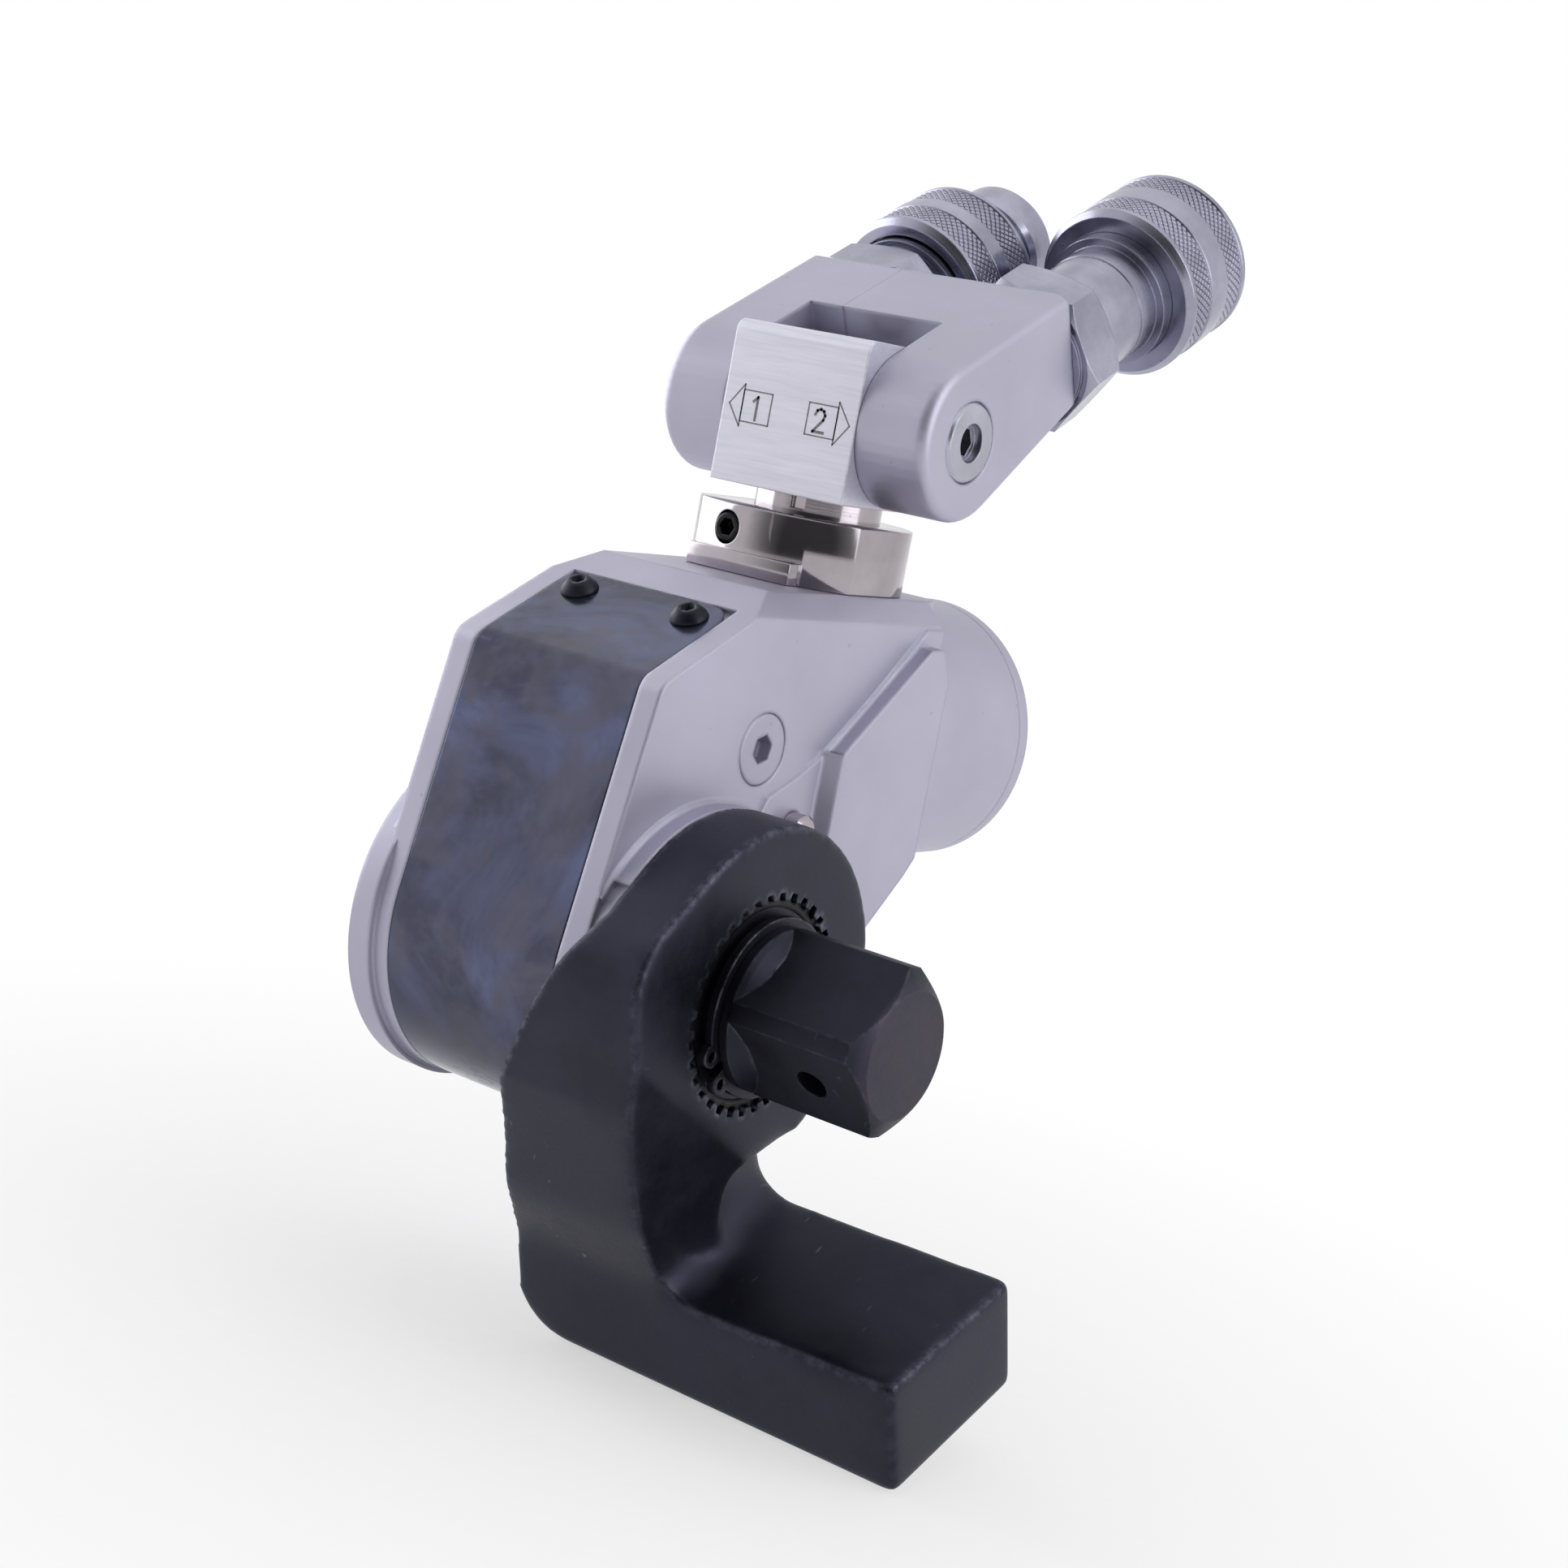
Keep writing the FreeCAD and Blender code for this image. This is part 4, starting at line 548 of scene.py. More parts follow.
def arm_shares(mesh, arm):
    """How freely each point may be smoothed: least on crisp edges, none near the splines and the nose."""
    points, normals = corners(mesh), corners(mesh, "normal")
    ends = np.empty(len(mesh.edges) * 2, dtype=np.int64)
    mesh.edges.foreach_get("vertices", ends)
    one, other = ends.reshape(-1, 2).T
    alike = (normals[one] * normals[other]).sum(axis=1)
    bend = np.degrees(np.arccos(np.clip(alike, -1.0, 1.0)))
    crisp = np.zeros(len(points))
    for end in (one, other):
        np.maximum.at(crisp, end, bend)
    crisp = np.clip((crisp - arm.gentle_bend) / CRISP_SPAN, 0.0, 1.0)
    front = np.abs(points[:, 0] - arm.ring_front) < FRONT_SLACK
    rim = front[one] != front[other]
    crisp[one[rim]] = 1.0
    crisp[other[rim]] = 1.0
    crisp *= np.clip((from_hollow(points) - arm.hollow_size) / HOLLOW_RIM, 0.0, 1.0)
    for _ in range(arm.crisp_rings):
        spread = crisp.copy()
        np.maximum.at(spread, one, crisp[other] * CRISP_FADE)
        np.maximum.at(spread, other, crisp[one] * CRISP_FADE)
        crisp = spread
    share = 1.0 - (1.0 - arm.edge_share) * crisp
    radius = np.hypot(points[:, 1], points[:, 2])
    ring = np.clip((radius - arm.bore_keep) / KEEP_FADE, 0.0, 1.0)
    nose = np.clip((radius - arm.nose_keep) / KEEP_FADE, 0.0, 1.0)
    behind = points[:, 0] < arm.ring_back
    return share * np.where(behind, nose, ring)


def hollow_shares(mesh, arm):
    """Smoothing for the hollow above the foot alone."""
    return np.clip((arm.hollow_size - from_hollow(corners(mesh))) / HOLLOW_FADE, 0.0, 1.0)


class Tree:
    """A geometry node tree with named inputs."""

    def __init__(self, name):
        self.tree = bpy.data.node_groups.new(name, "GeometryNodeTree")
        self.tree.interface.new_socket("Geometry", in_out="OUTPUT", socket_type="NodeSocketGeometry")
        self.ids = {}
        self.entry = None

    def input(self, name, kind, value):
        socket = self.tree.interface.new_socket(name, in_out="INPUT", socket_type=kind)
        if value is not None:
            socket.default_value = value
        self.ids[name] = socket.identifier

    def get(self, name):
        if self.entry is None:
            self.entry = self.tree.nodes.new("NodeGroupInput")
        return self.entry.outputs[name]

    def node(self, kind, settings=None, **links):
        node = self.tree.nodes.new(kind)
        for key, value in (settings or {}).items():
            setattr(node, key, value)
        for key, value in links.items():
            self.feed(node, key.replace("_", " "), value)
        return node

    def feed(self, node, key, value):
        socket = node.inputs[int(key)] if key.isdigit() else node.inputs[key]
        if isinstance(value, bpy.types.NodeSocket):
            self.tree.links.new(value, socket)
        else:
            socket.default_value = value

    def sum(self, operation, a, b):
        node = self.tree.nodes.new("ShaderNodeMath")
        node.operation = operation
        self.feed(node, "0", a)
        self.feed(node, "1", b)
        return node.outputs[0]

    def vector(self, x, y, z):
        node = self.tree.nodes.new("ShaderNodeCombineXYZ")
        for key, value in zip("XYZ", (x, y, z)):
            self.feed(node, key, value)
        return node.outputs[0]

    def finish(self, geometry, material):
        real = self.node("GeometryNodeRealizeInstances", Geometry=geometry)
        paint = self.node("GeometryNodeSetMaterial", Geometry=real.outputs[0], Material=material)
        out = self.tree.nodes.new("NodeGroupOutput")
        self.tree.links.new(paint.outputs[0], out.inputs[0])

    def make(self, values):
        """Run the tree on an empty mesh and return its result as a plain mesh."""
        host = placed("host", bpy.data.meshes.new("host"))
        run = host.modifiers.new("tree", "NODES")
        run.node_group = self.tree
        for name, value in values.items():
            run[self.ids[name]] = value
        mesh = plain_mesh(host)
        if not mesh.polygons:
            raise RuntimeError("the tree " + self.tree.name + " made nothing")
        return mesh


def scattered(t, line, out, along, axis, shape):
    """Copies of a shape on a line's points, standing out at the tree's radius, with their X along axis."""
    seat = t.node("ShaderNodeVectorMath", {"operation": "SCALE"}, Vector=out, Scale=t.get("Radius"))
    spot = t.node("ShaderNodeVectorMath", {"operation": "ADD"})
    t.feed(spot, "0", seat.outputs[0])
    t.feed(spot, "1", along)
    points = t.node("GeometryNodeSetPosition", Geometry=line.outputs[0], Position=spot.outputs[0])
    turn = t.node("FunctionNodeAxesToRotation", {"primary_axis": "Z", "secondary_axis": "X"})
    t.feed(turn, "0", out)
    t.feed(turn, "1", axis)
    copies = t.node("GeometryNodeInstanceOnPoints", Points=points.outputs[0], Instance=shape.outputs[0])
    t.feed(copies, "Rotation", turn.outputs[0])
    t.finish(copies.outputs[0], t.get("Material"))


def knurl_tree():
    """Rows of small flat-topped points round a band, each row half a step on from the last."""
    t = Tree("diamond_knurl")
    t.input("Radius", "NodeSocketFloat", 0.0141)
    t.input("Start", "NodeSocketFloat", 0.060)
    t.input("Length", "NodeSocketFloat", 0.005)
    t.input("Around", "NodeSocketInt", 72)
    t.input("Rows", "NodeSocketInt", 8)
    t.input("Height", "NodeSocketFloat", 0.0004)
    t.input("Material", "NodeSocketMaterial", None)
    around, rows = t.get("Around"), t.get("Rows")
    line = t.node("GeometryNodeMeshLine", Count=t.sum("MULTIPLY", around, rows))
    index = t.node("GeometryNodeInputIndex").outputs[0]
    ring = t.sum("FLOOR", t.sum("DIVIDE", t.sum("ADD", index, 0.5), rows), 0.0)
    row = t.sum("SUBTRACT", index, t.sum("MULTIPLY", ring, rows))
    half = t.sum("MULTIPLY", t.sum("MODULO", t.sum("ADD", row, 0.25), 2.0), 0.5)
    odd = t.sum("GREATER_THAN", half, 0.5)
    place = t.sum("ADD", ring, t.sum("MULTIPLY", odd, 0.5))
    angle = t.sum("MULTIPLY", t.sum("DIVIDE", place, around), math.tau)
    step = t.sum("DIVIDE", t.get("Length"), rows)
    along = t.sum("ADD", t.get("Start"), t.sum("MULTIPLY", t.sum("ADD", row, 0.5), step))
    out = t.vector(t.sum("COSINE", angle, 0.0), 0.0, t.sum("SINE", angle, 0.0))
    width = t.sum("DIVIDE", t.sum("MULTIPLY", t.get("Radius"), math.tau), around)
    point = t.node("GeometryNodeMeshCone", {"fill_type": "NGON"}, Vertices=4)
    t.feed(point, "Radius Top", t.sum("MULTIPLY", width, POINT_TOP))
    t.feed(point, "Radius Bottom", t.sum("MULTIPLY", width, POINT_FOOT))
    t.feed(point, "Depth", t.get("Height"))
    scattered(t, line, out, t.vector(0.0, along, 0.0), (0.0, 1.0, 0.0), point)
    return t


def ridge_tree():
    """Straight ridges along X round a disc's rim."""
    t = Tree("straight_knurl")
    t.input("Radius", "NodeSocketFloat", 0.017)
    t.input("Low", "NodeSocketFloat", 0.0)
    t.input("High", "NodeSocketFloat", 0.003)
    t.input("Count", "NodeSocketInt", 60)
    t.input("Width", "NodeSocketFloat", 0.0011)
    t.input("Height", "NodeSocketFloat", 0.0006)
    t.input("Material", "NodeSocketMaterial", None)
    line = t.node("GeometryNodeMeshLine", Count=t.get("Count"))
    index = t.node("GeometryNodeInputIndex").outputs[0]
    angle = t.sum("MULTIPLY", t.sum("DIVIDE", index, t.get("Count")), math.tau)
    middle = t.sum("MULTIPLY", t.sum("ADD", t.get("Low"), t.get("High")), 0.5)
    out = t.vector(0.0, t.sum("COSINE", angle, 0.0), t.sum("SINE", angle, 0.0))
    ridge = t.node("GeometryNodeMeshCube")
    span = t.sum("SUBTRACT", t.get("High"), t.get("Low"))
    t.feed(ridge, "Size", t.vector(span, t.get("Width"), t.get("Height")))
    scattered(t, line, out, t.vector(middle, 0.0, 0.0), (1.0, 0.0, 0.0), ridge)
    return t


def strokes(bm, points, width, y):
    """Flat strokes along a polyline of (x, z) points in the plane Y = y."""
    for (x0, z0), (x1, z1) in zip(points, points[1:]):
        run = Vector((x1 - x0, 0.0, z1 - z0))
        along = run.normalized() * width * 0.5
        side = Vector((along.z, 0.0, -along.x))
        a = Vector((x0, y, z0)) - along
        b = Vector((x1, y, z1)) + along
        front = [bm.verts.new(p) for p in (a - side, a + side, b + side, b - side)]
        back = [bm.verts.new(v.co + Vector((0.0, MARK_DEPTH, 0.0))) for v in front]
        bm.faces.new(front)
        bm.faces.new(back[::-1])
        for i in range(4):
            bm.faces.new((front[i], back[i], back[(i + 1) % 4], front[(i + 1) % 4]))


class WrenchFinish(bpy.types.PropertyGroup):
    """Colours of the main finishes."""

    aluminium: bpy.props.FloatVectorProperty(
        name="Aluminium", description="Colour of the bead-blasted body", subtype="COLOR", size=3,
        min=0.0, max=1.0, default=(0.50, 0.485, 0.60))
    oxide: bpy.props.FloatVectorProperty(
        name="Black oxide", description="Colour of the arm and the drive", subtype="COLOR", size=3,
        min=0.0, max=1.0, default=(0.022, 0.022, 0.036))


class WrenchKnurl(bpy.types.PropertyGroup):
    """Sizes of the knurled bands."""

    radius: bpy.props.FloatProperty(
        name="Band radius", description="Radius the points stand on", default=0.01408, unit="LENGTH")
    length: bpy.props.FloatProperty(
        name="Band length", description="Length of one band", default=0.0052, unit="LENGTH")
    height: bpy.props.FloatProperty(
        name="Point height", description="Height of a knurl point", default=0.00024, unit="LENGTH")
    around: bpy.props.IntProperty(name="Points around", description="Points in one row", default=72, min=12)
    rows: bpy.props.IntProperty(name="Rows", description="Rows in one band", default=8, min=2)


class WrenchArm(bpy.types.PropertyGroup):
    """Sizes that round the reaction arm's milled edges."""

    voxel: bpy.props.FloatProperty(
        name="Grid", description="Size of the arm's surface grid", default=0.0005, unit="LENGTH")
    passes: bpy.props.IntProperty(
        name="Passes", description="Smoothing passes over the neck", default=110, min=1)
    edge_share: bpy.props.FloatProperty(
        name="Edge share", description="How far crisp edges follow", default=0.09)
    gentle_bend: bpy.props.FloatProperty(
        name="Gentle bend", description="Bend in degrees that is blended away", default=8.0)
    crisp_rings: bpy.props.IntProperty(
        name="Crisp rings", description="Points kept each side of a crisp edge", default=3)
    bore: bpy.props.FloatProperty(
        name="Bore room", description="Radius that holds the splines", default=0.0170, unit="LENGTH")
    bore_keep: bpy.props.FloatProperty(
        name="Bore kept", description="Radius left as it is", default=0.0175, unit="LENGTH")
    nose_keep: bpy.props.FloatProperty(
        name="Nose kept", description="Radius kept clear for the nose", default=0.0275, unit="LENGTH")
    hollow_passes: bpy.props.IntProperty(
        name="Hollow passes", description="Smoothing passes in the hollow", default=260, min=1)
    hollow_size: bpy.props.FloatProperty(
        name="Hollow", description="Radius of the blended hollow", default=0.0105, unit="LENGTH")
    ring_back: bpy.props.FloatProperty(
        name="Ring back", description="X of the ring's back face", default=-0.0351, unit="LENGTH")
    ring_front: bpy.props.FloatProperty(
        name="Ring front", description="X of the ring's front face", default=-0.0246, unit="LENGTH")


class WrenchClamp(bpy.types.PropertyGroup):
    """Sizes of the swivel clamp."""

    front_radius: bpy.props.FloatProperty(
        name="Front radius", description="Radius of the round front", default=0.0184, unit="LENGTH")
    height: bpy.props.FloatProperty(
        name="Height", description="Height over the platform", default=0.01028, unit="LENGTH")
    ledge_half: bpy.props.FloatProperty(
        name="Ledge half width", description="Half the ledge's width", default=0.0097, unit="LENGTH")
    ledge_height: bpy.props.FloatProperty(
        name="Ledge height", description="Height of the ledge", default=0.00338, unit="LENGTH")


class WrenchMark(bpy.types.PropertyGroup):
    """Sizes of the marks on the block."""

    line: bpy.props.FloatProperty(
        name="Line width", description="Width of the etched lines", default=0.00022, unit="LENGTH")
    front: bpy.props.FloatProperty(
        name="Front face", description="Y of the block's front face", default=0.0275, unit="LENGTH")


class WRENCH_OT_body(bpy.types.Operator):
    """Finish the body, its plugs and its end cap"""

    bl_idname = "wrench.body"
    bl_label = "Body"

    def execute(self, context):
        colour = tuple(context.scene.wrench_finish.aluminium)
        dress(blasted_aluminium("body_aluminium", colour), "housing", "cylinder_cap")
        plugs = blasted_aluminium("plug_aluminium", tuple(c * 0.95 for c in colour))
        dress(plugs, "side_plug_right", "side_plug_left")
        return {"FINISHED"}


def lesser_heads():
    """The cover's screws, with the two on its upper slope shrunk towards their seats."""
    bm = bmesh.new()
    bm.from_mesh(merged_copy("cover_screws"))
    out = Vector((0.0, -math.sin(SLOPE_TILT), math.cos(SLOPE_TILT)))
    left = set(bm.verts)
    while left:
        island = {left.pop()}
        edge = set(island)
        while edge:
            edge = {e.other_vert(v) for v in edge for e in v.link_edges} - island
            island |= edge
        left -= island
        points = [v.co.copy() for v in island]
        middle = sum(points, Vector()) / len(points)
        if middle.z < 0.0:
            continue
        top = max(p.dot(out) for p in points)
        axis = middle + out * (top - SCREW_HEAD - middle.dot(out))
        for vertex in island:
            vertex.co = axis + (vertex.co - axis) * HEAD_SHARE
    mesh = as_mesh("cover_button_screws", bm)
    smooth_but(mesh, 30.0)
    return mesh


class WRENCH_OT_cover(bpy.types.Operator):
    """Finish the front cover and its screws"""

    bl_idname = "wrench.cover"
    bl_label = "Front cover"

    def execute(self, context):
        dress(blued_sheet("cover_bluing"), "front_cover")
        black = black_oxide("screw_black", (0.018, 0.018, 0.026), (0.10, 0.10, 0.13))
        dress(black, "cover_screws")
        screws = finished(lesser_heads(), "cover_button_screws", black, "body")
        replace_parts(screws, "cover_screws")
        return {"FINISHED"}


class WRENCH_OT_drive(bpy.types.Operator):
    """Finish the square drive, its circlip and the cap on its far end"""

    bl_idname = "wrench.drive"
    bl_label = "Drive"

    def execute(self, context):
        dress(black_oxide("drive_black", (0.018, 0.018, 0.029), (0.14, 0.14, 0.18), rust=0.7), "drive_shaft")
        clip = black_oxide("clip_black", (0.020, 0.020, 0.030), (0.16, 0.16, 0.20))
        dress(clip, "drive_circlip", "drive_cap", "bush_right")
        dress(nickel_plate("button_nickel"), "release_button", "latch_button")
        dress(machined_steel("ring_steel"), "cap_ring")
        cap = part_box("drive_cap")
        rim = (cap[1][1] - cap[0][1]) / 2.0
        tree = ridge_tree()
        mesh = tree.make({
            "Radius": rim - RIDGE_SINK, "Low": cap[0][0] + RIDGE_ENDS[0], "High": cap[1][0] - RIDGE_ENDS[1],
            "Material": clip})
        finished(mesh, "drive_cap_knurl", clip, "drive")
        return {"FINISHED"}


class WRENCH_OT_arm(bpy.types.Operator):
    """Ease the reaction arm's milled edges, blend its hollow and finish it"""

    bl_idname = "wrench.arm"
    bl_label = "Reaction arm"

    def execute(self, context):
        colour = tuple(context.scene.wrench_finish.oxide)
        black = black_oxide("arm_black", colour, (0.20, 0.20, 0.26), wear=0.0015, worn_from=(0.03, 0.16))
        dress(black, "reaction_arm")
        arm = context.scene.wrench_arm
        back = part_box("drive_circlip")[0][0] - SPLINE_ROOM[0]
        through = as_mesh("spline_room", drive_bar(back, arm.ring_front + SPLINE_ROOM[1], arm.bore))
        solid = placed("arm_solid", merged_copy("reaction_arm"))
        cut = {"operation": "DIFFERENCE", "solver": "EXACT"}
        room = placed("spline_room", settled(through, [("BOOLEAN", {**cut, "object": solid})]))
        bm = drive_bar(arm.ring_back - FILL_LAP, arm.ring_front, arm.bore + 2.0 * FILL_LAP)
        bm.from_mesh(solid.data)
        filled = as_mesh("arm_filled", bm)
        level = Matrix.Rotation(ARM_TURN, 4, "X")
        filled.transform(level.inverted())
        gridded = settled(filled, [("REMESH", {"mode": "VOXEL", "voxel_size": arm.voxel})])
        gridded.transform(level)
        smooth = {"factor": 0.5, "iterations": arm.passes, "vertex_group": "share"}
        eased = settled(gridded, [("SMOOTH", smooth)], arm_shares(gridded, arm))
        steps = [("SMOOTH", {**smooth, "iterations": arm.hollow_passes})]
        steps.append(("BOOLEAN", {**cut, "object": room}))
        rounded = settled(eased, steps, hollow_shares(eased, arm))
        for helper in (solid, room):
            bpy.data.objects.remove(helper, do_unlink=True)
        smooth_but(rounded, 35.0)
        piece = finished(rounded, "reaction_arm_rounded", black, "arm")
        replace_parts(piece, "reaction_arm")
        return {"FINISHED"}


def arc(radius, start, sweep):
    """Points (x, y) of an arc round the post."""
    turns = [start + sweep * i / ARC_STEPS for i in range(ARC_STEPS + 1)]
    return [(MID_X + radius * math.cos(a), PIVOT.y + radius * math.sin(a)) for a in turns]


def clamp_disc(clamp):
    """Plan outline of the clamp: a round front, two flats and a round back."""
    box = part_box("swivel_clamp")
    side = (box[1][0] - box[0][0]) / 2.0
    corner = math.acos(side / clamp.front_radius)
    front = arc(clamp.front_radius, math.pi + corner, math.pi - 2.0 * corner)
    return front + arc(side, 0.0, math.pi)


def upright(points, low, high):
    """A bmesh prism along Z over an outline of (x, y) points."""
    bm = bmesh.new()
    base = [bm.verts.new((x, y, low)) for x, y in points]
    top = [bm.verts.new((x, y, high)) for x, y in points]
    bm.faces.new(base[::-1])
    bm.faces.new(top)
    for i, corner in enumerate(base):
        j = (i + 1) % len(base)
        bm.faces.new((corner, base[j], top[j], top[i]))
    return bm


def make_clamp(clamp, nickel):
    """The clamp with its polished round front, its ledge, the post's bore and the set screw's hole."""
    box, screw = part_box("swivel_clamp"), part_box("clamp_set_screw")
    high = box[1][2]
    low = high - clamp.height
    left, right = MID_X - clamp.ledge_half, MID_X + clamp.ledge_half
    ledge = [(left, box[0][1]), (right, box[0][1]), (right, LEDGE_BACK), (left, LEDGE_BACK)]
    limits = {"limit_method": "ANGLE", "angle_limit": math.radians(40.0)}
    rims = ("BEVEL", {"width": RIM, "segments": 2, **limits})
    step = settled(as_mesh("clamp_ledge", upright(ledge, low, low + clamp.ledge_height)), [rims])
    bore = bar(POST_BORE, 3.0 * CUT, (MID_X, PIVOT.y, high), Matrix.Identity(4), 64)
    middle = ((screw[0][0] + screw[1][0]) / 2.0, screw[0][1], (screw[0][2] + screw[1][2]) / 2.0)
    hole = bar(SET_SCREW_HOLE, CUT, middle, Matrix.Rotation(math.radians(90.0), 4, "X"), 64)
    helpers = (
        (placed("clamp_ledge", step), "UNION"),
        (placed("post_bore", as_mesh("post_bore", bore)), "DIFFERENCE"),
        (placed("screw_hole", as_mesh("screw_hole", hole)), "DIFFERENCE"),
    )
    steps = [rims]
    for helper, operation in helpers:
        steps.append(("BOOLEAN", {"operation": operation, "solver": "EXACT", "object": helper}))
    mesh = settled(as_mesh("clamp_disc", upright(clamp_disc(clamp), low, high)), steps)
    for helper, _ in helpers:
        bpy.data.objects.remove(helper, do_unlink=True)
    smooth_but(mesh, 24.0)
    return finished(mesh, "swivel_clamp_polished", nickel, "body")


class WRENCH_OT_swivel(bpy.types.Operator):
    """Finish the clamp, post and block"""

    bl_idname = "wrench.swivel"
    bl_label = "Swivel"

    def execute(self, context):
        nickel = nickel_plate("clamp_nickel")
        dress(nickel, "swivel_clamp", "swivel_post")
        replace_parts(make_clamp(context.scene.wrench_clamp, nickel), "swivel_clamp")
        dress(brushed_block("block_aluminium"), "swivel_block")
        dress(machined_steel("block_screw_steel"), "block_screw")
        dress(black_oxide("set_screw_black", (0.012, 0.012, 0.013), (0.08, 0.08, 0.08)), "clamp_set_screw")
        return {"FINISHED"}


class WRENCH_OT_marks(bpy.types.Operator):
    """Etch two arrow outlines with plain numbers on the block's front"""

    bl_idname = "wrench.marks"
    bl_label = "Block marks"

    def execute(self, context):
        mark = context.scene.wrench_mark
        y = mark.front + MARK_SUNK - MARK_DEPTH
        bm = bmesh.new()
        for side in (-1, 1):
            for outline in (ARROW_BOX, ARROW_HEAD):
                points = [(MID_X + side * out * MM, z * MM) for out, z in outline]
                strokes(bm, points, mark.line, y)
        for figure in (ONE, TWO):
            strokes(bm, [(x * MM, z * MM) for x, z in figure], mark.line * 2.0, y)
        bmesh.ops.recalc_face_normals(bm, faces=bm.faces[:])
        marks = as_mesh("block_marks", bm)
        finished(marks, "block_marks", etched_mark("etched_line"), "swivel")
        return {"FINISHED"}


class WRENCH_OT_yoke(bpy.types.Operator):
    """Finish the yoke halves, their pins and screws"""

    bl_idname = "wrench.yoke"
    bl_label = "Yoke"

    def execute(self, context):
        colour = tuple(context.scene.wrench_finish.aluminium)
        dress(blasted_aluminium("yoke_aluminium", colour), "yoke_right", "yoke_left")
        dress(machined_steel("pin_steel", (0.50, 0.50, 0.58)), "pivot_pin_right", "pivot_pin_left")
        dress(black_oxide("bolt_black"), "yoke_bolts")
        return {"FINISHED"}


class WRENCH_OT_couplers(bpy.types.Operator):
    """Finish the two couplers and cut the diamond knurl of their collars"""

    bl_idname = "wrench.couplers"
    bl_label = "Couplers"

    def execute(self, context):
        knurl = context.scene.wrench_knurl
        right, left = turned_zinc("zinc_right", 1), turned_zinc("zinc_left", -1)
        dress(right, "coupler_body_right", "coupler_collar_right", "coupler_poppet_right")
        dress(left, "coupler_body_left", "coupler_collar_left", "coupler_nose_left")
        tree = knurl_tree()
        bands = (("collar_right", 1, RIGHT_BANDS, right), ("collar_left", -1, LEFT_BANDS, left))
        for body, side, starts, zinc in bands:
            bm = bmesh.new()
            for start in starts:
                values = {
                    "Radius": knurl.radius, "Start": start, "Length": knurl.length,
                    "Around": knurl.around, "Rows": knurl.rows, "Height": knurl.height, "Material": zinc}
                bm.from_mesh(tree.make(values))
            bmesh.ops.transform(bm, matrix=coupler_matrix(side), verts=bm.verts[:])
            finished(as_mesh(body + "_knurl", bm), body + "_knurl", zinc, body)
        return {"FINISHED"}


class WRENCH_OT_works(bpy.types.Operator):
    """Finish the ratchet, lever, piston, bushes and seals inside"""

    bl_idname = "wrench.works"
    bl_label = "Inner works"

    def execute(self, context):
        steel = machined_steel("works_steel")
        dress(steel, "ratchet_wheel", "lever_plate_right", "lever_plate_left", "lever_pins", "pawl_guide")
        dress(steel, "ratchet_pawl", "rod_pin", "piston_rod", "piston")
        dress(machined_steel("spring_steel_wire", (0.36, 0.36, 0.37)), "latch_spring", "pawl_springs")
        dress(bearing_bronze("bush_bronze"), "bush_left", "rod_gland")
        dress(seal_rubber("nitrile"), "piston_seals", "gland_seal", "cylinder_cap_seal", "post_seals")
        return {"FINISHED"}


class WRENCH_OT_stage(bpy.types.Operator):
    """Set up the floor, studio light, background and camera"""

    bl_idname = "wrench.stage"
    bl_label = "Stage"

    def execute(self, context):
        lay_floor()
        hang_lights()
        paint_world()
        set_camera()
        context.scene.view_settings.view_transform = "Standard"
        return {"FINISHED"}


def seen_plainly(tree):
    """1 for camera, glossy and transmission rays: what sees the backdrop as white."""
    path = tree.nodes.new("ShaderNodeLightPath").outputs
    share = combined(tree, "MAXIMUM", path["Is Camera Ray"], path["Is Glossy Ray"])
    return combined(tree, "MAXIMUM", share, path["Is Transmission Ray"])


def lay_floor():
    """A pale floor that fades into the white backdrop away from the object."""
    bm = bmesh.new()
    bmesh.ops.create_circle(bm, cap_ends=True, radius=FLOOR_RADIUS, segments=96)
    bmesh.ops.translate(bm, verts=bm.verts[:], vec=(*MIDDLE[:2], FLOOR_Z - FLOOR_DROP))
    floor = placed("floor", as_mesh("floor", bm))
    f = Finish("floor_paper", (0.86, 0.86, 0.87), 0.0, 0.9)
    fibre = f.noise(400.0, 3.0)
    f.colour(f.blend(f.span(fibre, 0.3, 0.7), (0.85, 0.85, 0.86), (0.88, 0.88, 0.89)))
    white = f.new("ShaderNodeEmission")
    white.inputs["Color"].default_value = (1.0, 1.0, 1.0, 1.0)
    white.inputs["Strength"].default_value = 1.0
    centre = f.place(move=(-MIDDLE[0], -MIDDLE[1], 0.0))
    flat = f.new("ShaderNodeVectorMath", operation="MULTIPLY")
    f.link(centre, flat.inputs[0])
    flat.inputs[1].default_value = (1.0, 1.0, 0.0)
    length = f.new("ShaderNodeVectorMath", operation="LENGTH")
    f.link(flat.outputs["Vector"], length.inputs[0])
    far = f.span(length.outputs["Value"], 0.03, 0.20, 0.55, 1.0)
    share = f.math("MULTIPLY", far, seen_plainly(f.tree))
    mix = f.new("ShaderNodeMixShader")
    f.link(share, mix.inputs[0])
    f.link(f.surface.outputs[0], mix.inputs[1])
    f.link(white.outputs[0], mix.inputs[2])
    f.link(mix.outputs[0], f.tree.nodes["Material Output"].inputs["Surface"])
    floor.data.materials.append(f.mat)


def soft_box(name, place, size, power, colour=(1.0, 1.0, 1.0)):
    """A rectangular lamp aimed at the object's middle."""
    lamp = bpy.data.lights.new(name, "AREA")
    lamp.shape = "RECTANGLE"
    lamp.size, lamp.size_y = size
    lamp.energy = power
    lamp.color = colour
    thing = placed(name, lamp)
    thing.location = place
    aim = Vector(MIDDLE) - Vector(place)
    thing.rotation_euler = aim.to_track_quat("-Z", "Y").to_euler()


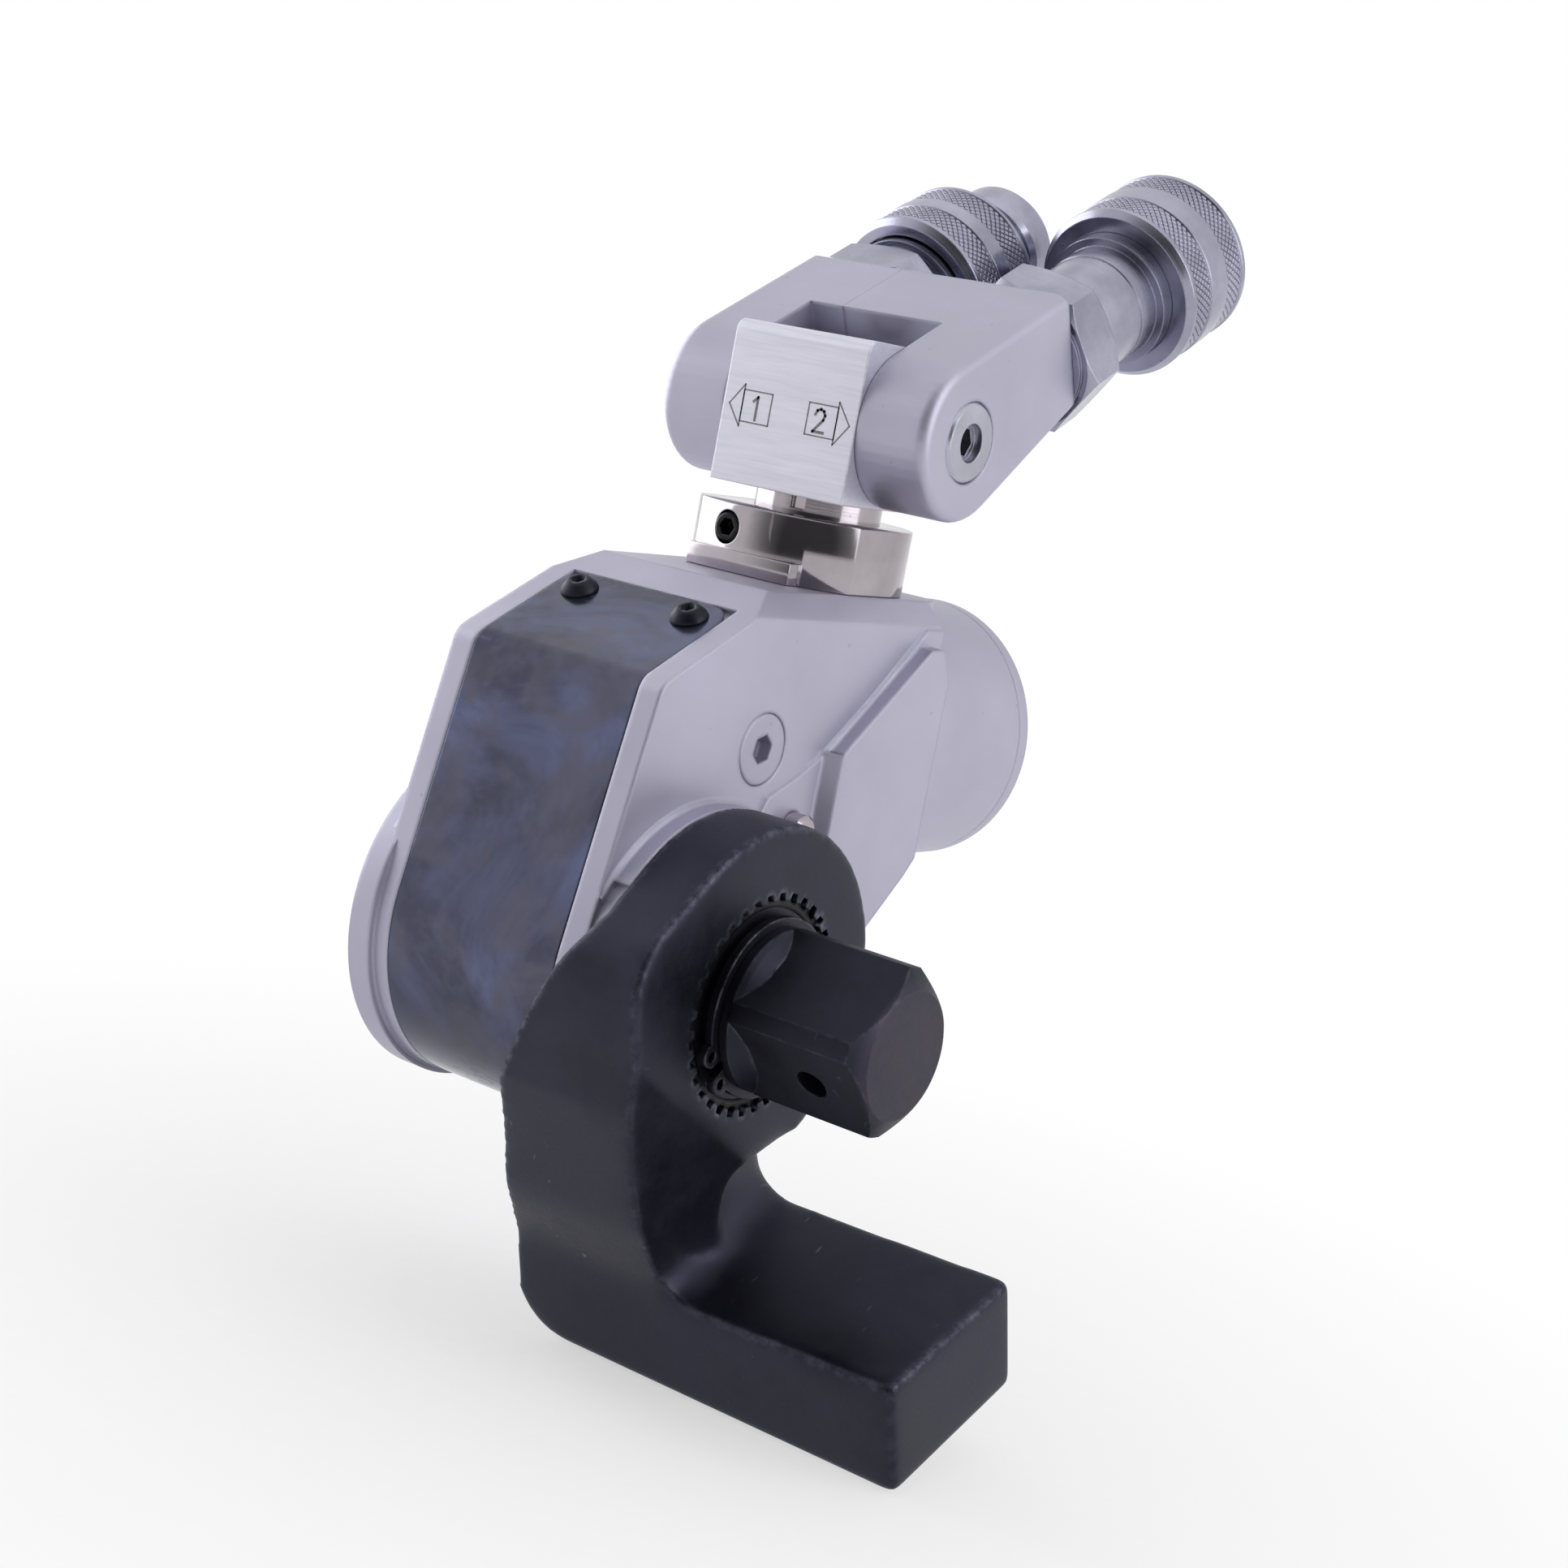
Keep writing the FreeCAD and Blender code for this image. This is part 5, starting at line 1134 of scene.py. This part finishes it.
def hang_lights():
    """Soft boxes above, at the left and at the right."""
    soft_box("top_box", (-0.05, 0.05, 0.75), (0.7, 0.6), 0.3)
    soft_box("left_box", (-0.80, -0.02, 0.14), (0.9, 0.9), 5.2, (0.98, 0.98, 1.0))
    soft_box("right_box", (0.62, 0.10, 0.30), (0.5, 0.6), 2.0, (0.98, 0.98, 1.0))


def paint_world():
    """White behind the object, grey in front of it, where the camera stands."""
    world = bpy.data.worlds.new("studio")
    bpy.context.scene.world = world
    world.use_nodes = True
    tree = world.node_tree
    toward = tree.nodes.new("ShaderNodeVectorMath")
    toward.operation = "DOT_PRODUCT"
    tree.links.new(tree.nodes.new("ShaderNodeTexCoord").outputs["Generated"], toward.inputs[0])
    toward.inputs[1].default_value = Vector(CAMERA_SIDE).normalized()
    shade = mapped(tree, toward.outputs["Value"], ROOM_SHADE)
    behind = mapped(tree, toward.outputs["Value"], ROOM_WHITE)
    mirrored = combined(tree, "MULTIPLY", seen_plainly(tree), behind)
    seen = tree.nodes.new("ShaderNodeLightPath").outputs["Is Camera Ray"]
    most = combined(tree, "MAXIMUM", combined(tree, "MAXIMUM", seen, mirrored), shade)
    grey = tree.nodes.new("ShaderNodeCombineColor")
    for key in ("Red", "Green", "Blue"):
        tree.links.new(most, grey.inputs[key])
    back = tree.nodes["Background"]
    tree.links.new(grey.outputs["Color"], back.inputs["Color"])
    back.inputs["Strength"].default_value = 1.0


def set_camera():
    """The photograph's viewpoint: 34 degrees round, 9 degrees up, leaning 11 degrees."""
    data = bpy.data.cameras.new("camera")
    data.sensor_width = 36.0
    data.lens = 62.176
    data.shift_x = 0.00972
    data.shift_y = 0.00343
    data.clip_start = 0.01
    camera = placed("camera", data)
    camera.location = (0.181727, -0.310750, 0.088789)
    camera.rotation_euler = Euler([math.radians(a) for a in (80.9671, -10.5261, 35.9757)])
    bpy.context.scene.camera = camera


class WRENCH_PT_panel(bpy.types.Panel):
    """Lists the wrench's pieces"""

    bl_idname = "WRENCH_PT_panel"
    bl_label = "Torque Wrench"
    bl_space_type = "VIEW_3D"
    bl_region_type = "UI"
    bl_category = "Torque Wrench"

    def draw(self, context):
        for setting in SETTINGS:
            group = getattr(context.scene, setting)
            for key in group.__annotations__:
                self.layout.prop(group, key)
        for operator in OPERATORS:
            self.layout.operator(operator.bl_idname)


SETTINGS = {
    "wrench_finish": WrenchFinish, "wrench_knurl": WrenchKnurl, "wrench_arm": WrenchArm,
    "wrench_clamp": WrenchClamp, "wrench_mark": WrenchMark,
}
OPERATORS = (
    WRENCH_OT_body, WRENCH_OT_cover, WRENCH_OT_drive, WRENCH_OT_arm, WRENCH_OT_swivel,
    WRENCH_OT_marks, WRENCH_OT_yoke, WRENCH_OT_couplers, WRENCH_OT_works, WRENCH_OT_stage,
)
CLASSES = (*SETTINGS.values(), *OPERATORS, WRENCH_PT_panel)


def register():
    for cls in CLASSES:
        bpy.utils.register_class(cls)
    for name, group in SETTINGS.items():
        setattr(bpy.types.Scene, name, bpy.props.PointerProperty(type=group))


def unregister():
    for name in SETTINGS:
        delattr(bpy.types.Scene, name)
    for cls in reversed(CLASSES):
        bpy.utils.unregister_class(cls)


def main():
    register()
    bpy.ops.wrench.body()
    bpy.ops.wrench.cover()
    bpy.ops.wrench.drive()
    bpy.ops.wrench.arm()
    bpy.ops.wrench.swivel()
    bpy.ops.wrench.marks()
    bpy.ops.wrench.yoke()
    bpy.ops.wrench.couplers()
    bpy.ops.wrench.works()
    bpy.ops.wrench.stage()


if __name__ == "__main__":
    main()
